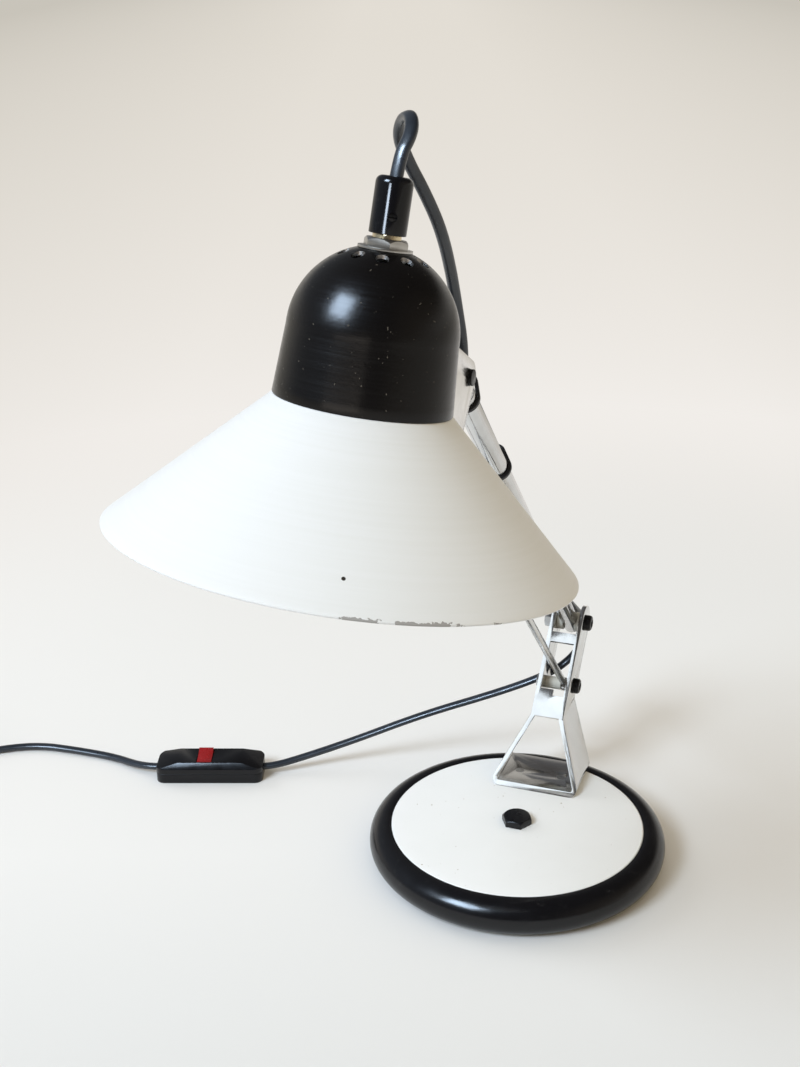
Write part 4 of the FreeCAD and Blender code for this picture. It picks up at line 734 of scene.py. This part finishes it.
def shade_finish():
    """White enamel; each chip is a bearing, a half length and a height."""
    made = new_finish("shade_enamel", (0.74, 0.735, 0.71), 0.4, Specular_IOR_Level=0.35)
    where = place_of(made, head_origin, head_turn)
    rounds = place_of(made, head_origin, head_turn, (14, 14, 1500))
    coarse = place_of(made, head_origin, head_turn, (9, 9, 900))
    marks = mottle(made, rounds, 1.0, 0.25, 0.75, detail=4.0)
    bands = mottle(made, coarse, 1.0, 0.3, 0.7, detail=2.0)
    tint = blended(made, bands, (0.725, 0.73, 0.73), (0.74, 0.745, 0.75))

    ragged = mottle(made, where, 700, 0.3, 0.7, detail=4.0, out=(-1.0, 1.0))
    drop = node(made, "SeparateXYZ", (0, where)).outputs["Z"]
    edge = worked_out(made, "MULTIPLY_ADD", ragged, 0.00045, drop)
    chips = []
    for bearing, half_length, height in CHIPS:
        turned = math.radians(bearing)
        spot = (RIM * MM * math.cos(turned), RIM * MM * math.sin(turned), RIM_DROP * MM)
        apart = node(made, "VectorMath", (0, where), (1, spot), operation="DISTANCE").outputs["Value"]
        apart = worked_out(made, "MULTIPLY_ADD", ragged, 0.0012, apart)
        near = worked_out(made, "LESS_THAN", apart, half_length * MM)
        low_down = worked_out(made, "LESS_THAN", edge, (height + RIM_DROP) * MM)
        chips.append(worked_out(made, "MULTIPLY", near, low_down))
    bare = chips[0]
    for chip in chips[1:]:
        bare = worked_out(made, "MAXIMUM", bare, chip)

    from_pit = node(made, "VectorMath", (0, where), (1, PIT), operation="DISTANCE").outputs["Value"]
    pit = worked_out(made, "LESS_THAN", from_pit, PIT_RADIUS)
    tint = blended(made, bare, tint, (0.33, 0.32, 0.31))
    feed(made, "Base Color", blended(made, pit, tint, (0.03, 0.025, 0.02)))
    feed(made, "Roughness", mottle(made, rounds, 1.0, 0.2, 0.8, out=(0.34, 0.5)))
    relief(made, worked_out(made, "MULTIPLY_ADD", bare, -6.0, marks), 0.000018)
    return made


slope = math.atan2(NECK_DROP - RIM_DROP, RIM - NECK)
along_rim = Vector((math.cos(slope), -math.sin(slope)))
off_rim = Vector((-math.sin(slope), -math.cos(slope)))
outer_edge = Vector((RIM - RIM_ROUND, RIM_DROP + RIM_ROUND * math.tan(slope)))
rim_round = [
    tuple(outer_edge + off_rim * RIM_ROUND + along_rim * (RIM_SWELL * math.sin(math.radians(turn)))
          - off_rim * (RIM_ROUND * math.cos(math.radians(turn))))
    for turn in range(0, 181, 20)
]
inner_neck = (COLLAR - SHEET, NECK_DROP - (COLLAR - NECK + SHEET / math.sin(slope)) * math.tan(slope))
outside = [
    (NECK + (RIM - RIM_ROUND - NECK) * step / 24, NECK_DROP + (outer_edge.y - NECK_DROP) * step / 24)
    for step in range(24)
]
inside = [
    (rim_round[-1][0] + (inner_neck[0] - rim_round[-1][0]) * step / 12,
     rim_round[-1][1] + (inner_neck[1] - rim_round[-1][1]) * step / 12)
    for step in range(1, 13)
]
shade_outline = (
    [(COLLAR - SHEET, COLLAR_TOP), (COLLAR, COLLAR_TOP), (COLLAR, NECK_DROP)] + outside + rim_round + inside
)
shade = lathed("shade_cone", shade_outline, shade_finish(), HEAD, turns=256, sharp=38)
stands_for(shade, "head", "white_enamel", "shade")


# Grip: a glossy black moulding that clamps the flex, screwed on the nipple
# over the cap, with a hole drilled in its side for the small screw.
GRIP_BASE = 5.3
GRIP_HEIGHT = 19.3
GRIP_SIDE = 6.5
GRIP_ROUND = 2.4
GRIP_FOOT = 0.35
GRIP_BORE = 2.5
GRIP_MOUTH = 0.5
NIPPLE_END = 9.5
GRUB_RADIUS = 1.55
GRUB_HEIGHT = 11.3
GRUB_TURN = 29


def gloss_black(name, roughness, level=0.5, scale=500, depth=0.00001):
    """Moulded black plastic or rubber with a faint mottle and fine scuffs."""
    made = new_finish(name, (0.0045, 0.0045, 0.0055), roughness, Specular_IOR_Level=level)
    where = place_of(made)
    scuffs = mottle(made, where, 260, 0.62, 0.74, detail=5.0)
    feed(made, "Base Color", blended(made, scuffs, (0.0042, 0.0042, 0.0055), (0.012, 0.012, 0.013)))
    handled(made, scale / 4, roughness * 0.8, roughness * 1.35)
    relief(made, mottle(made, where, scale, 0.3, 0.7, detail=2.0), depth)
    return made


grip_gloss = gloss_black("grip_gloss", 0.11, 0.32, scale=240, depth=0.000006)
grip_outline = (
    [(NIPPLE_HOLE, GRIP_BASE), (5.6, GRIP_BASE)]
    + arc((GRIP_SIDE - GRIP_FOOT, GRIP_BASE + GRIP_FOOT), GRIP_FOOT, -60, 0, 3)
    + [(GRIP_SIDE, GRIP_BASE + 5), (GRIP_SIDE, GRIP_BASE + 10)]
    + arc((GRIP_SIDE - GRIP_ROUND, GRIP_BASE + GRIP_HEIGHT - GRIP_ROUND), GRIP_ROUND, 0, 90, 12)
    + arc((GRIP_BORE + GRIP_MOUTH, GRIP_BASE + GRIP_HEIGHT - GRIP_MOUTH), GRIP_MOUTH, 90, 180, 5)
    + [(GRIP_BORE, NIPPLE_END), (NIPPLE_HOLE, NIPPLE_END)]
)
grip = lathed("grip_barrel", grip_outline, grip_gloss, HEAD, turns=96)
grub_drill = lathed("grub_drill", [(0, 0), (GRUB_RADIUS, 0), (GRUB_RADIUS, 8), (0, 8)], grip_gloss, turns=40)
grub_drill.data.transform(
    HEAD @ Matrix.Translation((0, 0, GRUB_HEIGHT * MM))
    @ Matrix.Rotation(math.radians(GRUB_TURN), 4, "Z")
    @ Matrix.Rotation(math.radians(90), 4, "X")
    @ Matrix.Translation((0, 0, 2.4 * MM)))
carved(grip, grub_drill)
stands_for(grip, "head", "grip_black", "cord_grip")


# Nut, washer, nipple and screw: turned parts on the cap's top. The hexagon
# nut and its washer are plated steel, the threaded nipple is brass, and the
# grip's small screw is blackened.
def plated(name, colour, roughness, smudge=1.35, scale=300):
    """Plated or bare metal: bright, with soft smudges in its polish."""
    made = new_finish(name, colour, roughness, Metallic=1.0)
    where = place_of(made)
    darker = tuple(value * 0.86 for value in colour)
    feed(made, "Base Color", blended(made, mottle(made, where, scale / 3, 0.3, 0.7), colour, darker))
    smudged = (roughness, roughness * smudge)
    feed(made, "Roughness", mottle(made, where, scale, 0.35, 0.7, detail=4.0, out=smudged))
    relief(made, mottle(made, where, scale * 4, 0.3, 0.7), 0.000004)
    return made


def eased(cad_node, width, made, body, slot, sharp=32, segments=2):
    """A copy of a solid piece with its edges broken by a small round."""
    mesh = frame["nodes"][cad_node].data.copy()
    form = bmesh.new()
    form.from_mesh(mesh)
    bmesh.ops.remove_doubles(form, verts=form.verts, dist=2e-6)
    bmesh.ops.dissolve_limit(form, angle_limit=math.radians(0.6), verts=form.verts, edges=form.edges)
    form.to_mesh(mesh)
    form.free()
    mesh.materials.clear()
    piece = linked("fine_" + cad_node, mesh, made)
    broken = piece.modifiers.new("edges", "BEVEL")
    broken.width = width * MM
    broken.segments = segments
    broken.limit_method = "ANGLE"
    broken.angle_limit = math.radians(sharp)
    broken.harden_normals = True
    mesh = settled_mesh(piece)
    piece.modifiers.clear()
    piece.data = mesh
    return stands_for(piece, body, slot, cad_node)


nut_steel = plated("nut_steel_plate", (0.55, 0.54, 0.52), 0.3, scale=500)
brass = plated("nipple_brass", (0.86, 0.74, 0.50), 0.24, scale=700)
dark_pins = gloss_black("dark_pins", 0.3, 0.35, scale=900, depth=0.00001)
dress("nut_steel", nut_steel)
dress("brass", brass)
dress("dark_pins", dark_pins)
eased("top_nut", 0.14, nut_steel, "head", "nut_steel")
eased("top_washer", 0.15, nut_steel, "head", "nut_steel")
eased("nipple", 0.1, brass, "head", "brass")
eased("grub_screw", 0.08, dark_pins, "head", "dark_pins")


# Base ring: a fat moulded ring of black rubber, stretched round the weight
# and the disc. The lamp stands on it.
RING_SECTION = 9.5
RING_MIDDLE = 70.5
RING_HEIGHT = 9.7
RING_INSIDE = 61.95
DISC_SEAT = 68.25
DISC_FOOT = 12.0

ring_gloss = gloss_black("ring_gloss", 0.2, 0.38, scale=380, depth=0.000008)
dress("ring_rubber", ring_gloss)
top_turn = math.degrees(math.acos((DISC_SEAT - RING_MIDDLE) / RING_SECTION))
low_turn = -math.degrees(math.acos((RING_INSIDE - RING_MIDDLE) / RING_SECTION))
ring_outline = (
    [(RING_INSIDE, DISC_FOOT), (RING_INSIDE, RING_HEIGHT + RING_SECTION * math.sin(math.radians(low_turn)))]
    + arc((RING_MIDDLE, RING_HEIGHT), RING_SECTION, low_turn, top_turn, 48)[1:]
    + [(DISC_SEAT, DISC_FOOT)]
)
ring = lathed("base_ring_moulded", ring_outline, ring_gloss, turns=192)
stands_for(ring, "base", "ring_rubber", "base_ring")


# Disc: pressed steel in white enamel with a turned-down edge, on top of the
# weight. Two holes take the bracket's screws, and the bolt goes through.
DISC_TOP = 19.0
DISC_UNDER = 17.5
DISC_EDGE = 68.2
DISC_ROUND = 1.0
DISC_WALL = 1.5
BOLT_HOLE = 4.1
SCREW_HOLE = 2.52
DRILL_FROM = 15
DRILL_TO = 21
SCREW_ASIDE = 12.0
SCREW_BACK = 48.6


def disc_finish():
    """White enamel with soft wear and a few specks."""
    made = new_finish("disc_enamel", (0.87, 0.875, 0.87), 0.36, Specular_IOR_Level=0.4)
    where = place_of(made)
    wear = mottle(made, where, 26, 0.3, 0.7, detail=4.0)
    tint = blended(made, wear, (0.87, 0.88, 0.89), (0.84, 0.85, 0.855))
    specks = mottle(made, where, 520, 0.775, 0.80, detail=1.0)
    feed(made, "Base Color", blended(made, specks, tint, (0.42, 0.38, 0.32)))
    handled(made, 90, 0.30, 0.44)
    relief(made, mottle(made, where, 240, 0.25, 0.75), 0.00002)
    return made


disc_enamel = disc_finish()
dress("white_enamel", disc_enamel)
disc_outline = (
    [(BOLT_HOLE, DISC_UNDER), (BOLT_HOLE, DISC_TOP)]
    + [(radius, DISC_TOP) for radius in (8, 16, 26, 38, 50, 60)]
    + arc((DISC_EDGE - DISC_ROUND, DISC_TOP - DISC_ROUND), DISC_ROUND, 90, 0, 8)
    + [(DISC_EDGE, DISC_FOOT), (DISC_EDGE - DISC_WALL, DISC_FOOT), (DISC_EDGE - DISC_WALL, DISC_UNDER)]
)
disc = lathed("base_disc_pressed", disc_outline, disc_enamel, turns=192)
for side in (-1, 1):
    hole_outline = [(0, DRILL_FROM), (SCREW_HOLE, DRILL_FROM), (SCREW_HOLE, DRILL_TO), (0, DRILL_TO)]
    hole = lathed(f"plate_hole_{side}", hole_outline, ring_gloss, turns=32)
    hole.data.transform(Matrix.Translation((side * SCREW_ASIDE * MM, SCREW_BACK * MM, 0)))
    carved(disc, hole)
stands_for(disc, "base", "white_enamel", "base_disc")


# Bolt, weight and felt: the blackened hexagon bolt clamps the disc on a cast
# iron weight, and a green-black felt pad under it spares the table.
black_oxide = gloss_black("black_oxide", 0.3, 0.35, scale=900, depth=0.00002)
dress("black_steel", black_oxide)
eased("centre_bolt", 0.3, black_oxide, "base", "black_steel")

cast_iron = new_finish("cast_iron", (0.12, 0.115, 0.11), 0.6, Metallic=0.7)
clouded(cast_iron, 120, (0.13, 0.125, 0.12), (0.07, 0.065, 0.06), 0.35, 0.65)
relief(cast_iron, mottle(cast_iron, place_of(cast_iron), 700, 0.3, 0.7, detail=5.0), 0.0002)
dress("cast_weight", cast_iron)

felt = new_finish("felt", (0.03, 0.045, 0.03), 0.95, Sheen_Weight=0.4)
clouded(felt, 900, (0.028, 0.04, 0.03), (0.05, 0.065, 0.045), 0.35, 0.65)
relief(felt, mottle(felt, place_of(felt), 2600, 0.3, 0.7, detail=5.0), 0.0004)
dress("felt_pad", felt)


# Bracket: one strip of chromed sheet folded into a foot, two flared sides
# and the ears that carry the arm and the rod, with their black-headed pivot
# screws and zinc plated nuts.
chrome = plated("bright_chrome", (0.74, 0.74, 0.735), 0.1, smudge=2.0, scale=160)
zinc = plated("zinc_plate", (0.56, 0.57, 0.58), 0.26, scale=420)
for slot_name in ("bracket_chrome", "tube_chrome", "rod_chrome"):
    dress(slot_name, chrome)
dress("zinc_steel", zinc)
eased("bracket", 0.3, chrome, "base", "bracket_chrome", sharp=34, segments=3)
for pivot in ("arm_pivot", "rod_pivot"):
    eased(pivot + "_screw", 0.15, black_oxide, "base", "black_steel")
for pivot in ("arm_pivot", "rod_pivot"):
    eased(pivot + "_nut", 0.15, zinc, "base", "zinc_steel")


# Arm: a chromed tube that carries the head, with a fitting pressed in its
# end, the thin chromed rod below it that keeps the head level, and two black
# rubber bands that hold the flex against the tube.
eased("arm_tube", 0.12, chrome, "arm", "tube_chrome")
eased("arm_end_fitting", 0.2, zinc, "arm", "zinc_steel")
eased("arm_rod", 0.15, chrome, "rod", "rod_chrome")

band_rubber = new_finish("band_rubber_black", (0.012, 0.012, 0.014), 0.42)
handled(band_rubber, 700, 0.32, 0.55)
relief(band_rubber, mottle(band_rubber, place_of(band_rubber), 1600, 0.3, 0.7), 0.00003)
dress("band_rubber", band_rubber)
eased("cable_bands", 0.45, band_rubber, "arm", "band_rubber", segments=3)


# Link and knuckle: bright zinc plated steel between the arm and the head,
# held by dark pins and by the screw and nut that set how hard it tilts.
bright_zinc = plated("bright_zinc", (0.80, 0.79, 0.77), 0.18, scale=300)
eased("head_link", 0.3, bright_zinc, "head_link", "zinc_steel")
eased("knuckle", 0.3, bright_zinc, "knuckle", "zinc_steel")
eased("tilt_screw", 0.2, dark_pins, "head_link", "dark_pins")
eased("link_pins", 0.15, dark_pins, "head_link", "dark_pins")
eased("tilt_nut", 0.15, zinc, "head_link", "zinc_steel")


# Bushes and friction washers: the tube turns on off-white nylon bushes, and
# red-brown fibre washers in the tilt joint keep the head where it is put.
nylon = new_finish("nylon_bush", (0.62, 0.60, 0.54), 0.45)
clouded(nylon, 200, (0.62, 0.60, 0.54), (0.56, 0.54, 0.47))
handled(nylon, 400, 0.38, 0.55)
dress("nylon", nylon)

fibre = new_finish("fibre_washer", (0.20, 0.05, 0.03), 0.7)
clouded(fibre, 900, (0.20, 0.05, 0.03), (0.13, 0.035, 0.02))
relief(fibre, mottle(fibre, place_of(fibre), 1800, 0.3, 0.7), 0.00005)
dress("fibre", fibre)


# Switch: a two-part moulded shell with sloped ends on the flex, glossy black
# and closed from below by two screws, with a red rocker in its upper side.
switch_gloss = gloss_black("switch_gloss", 0.2, 0.32, scale=420, depth=0.000008)
dress("switch_upper", switch_gloss)
dress("switch_lower", switch_gloss)
eased("switch_cover", 0.7, switch_gloss, "base", "switch_upper", segments=3)
eased("switch_base", 0.4, switch_gloss, "base", "switch_lower")

rocker_red = new_finish("rocker_red", (0.30, 0.008, 0.010), 0.25, Coat_Weight=0.2, Coat_Roughness=0.15)
clouded(rocker_red, 200, (0.30, 0.008, 0.010), (0.24, 0.007, 0.009))
handled(rocker_red, 500, 0.2, 0.34)
dress("rocker_red", rocker_red)
eased("switch_rocker", 0.35, rocker_red, "rocker", "rocker_red", segments=3)


# Plug: a flat two-pin plug of the flex's own plastic, moulded on its end,
# with a tapered neck and two plated pins.
eased("plug_body", 0.6, cable_jacket, "base", "cable_blue", segments=3)
eased("plug_pins", 0.3, nut_steel, "base", "nut_steel")


# Lampholder and bulb: a black moulded holder on the nipple with a glazed
# ceramic insert, and a pearl glass bulb with a metal screw cap in it.
bakelite = gloss_black("holder_bakelite", 0.25, 0.5, scale=700, depth=0.00001)
dress("grip_black", bakelite)

ceramic = new_finish("ceramic", (0.74, 0.72, 0.67), 0.3, Coat_Weight=0.3)
clouded(ceramic, 90, (0.74, 0.72, 0.67), (0.68, 0.66, 0.60))
handled(ceramic, 200, 0.24, 0.4)
dress("ceramic", ceramic)

pearl = new_finish(
    "pearl_glass", (0.86, 0.85, 0.82), 0.32, Coat_Weight=0.4, Coat_Roughness=0.08, Transmission_Weight=0.25)
clouded(pearl, 30, (0.86, 0.85, 0.82), (0.82, 0.81, 0.77))
handled(pearl, 90, 0.27, 0.38)
dress("bulb_glass", pearl)

bulb_metal = plated("bulb_cap_metal", (0.70, 0.70, 0.70), 0.25, scale=500)
dress("bulb_metal", bulb_metal)


# Glare: the window's bright middle and the front of the room, which only the
# glossy black pieces mirror, so that the chrome and the enamel keep their tone.
black_pieces = [cap, grip, ring] + [
    piece for piece in bpy.context.scene.collection.objects
    if piece.name.startswith(("flex_", "fine_switch_cover", "fine_switch_base", "fine_centre_bolt"))
]
window_light("window_glare", (-0.38, -0.64, 0.67), 2.2, (0.86, 0.98), 105, (0.62, 0.79, 1.0),
             plain=False, only_on=black_pieces)
window_light("front_pane", (-0.075, -0.99, 0.02), 2.4, (0.5, 1.3), 70, (0.72, 0.84, 1.0),
             plain=False, only_on=[grip])
window_light("front_wall", (-0.12, -0.99, -0.02), 2.4, (1.9, 1.0), 9, (1.0, 0.90, 0.80),
             plain=False, only_on=[cap])
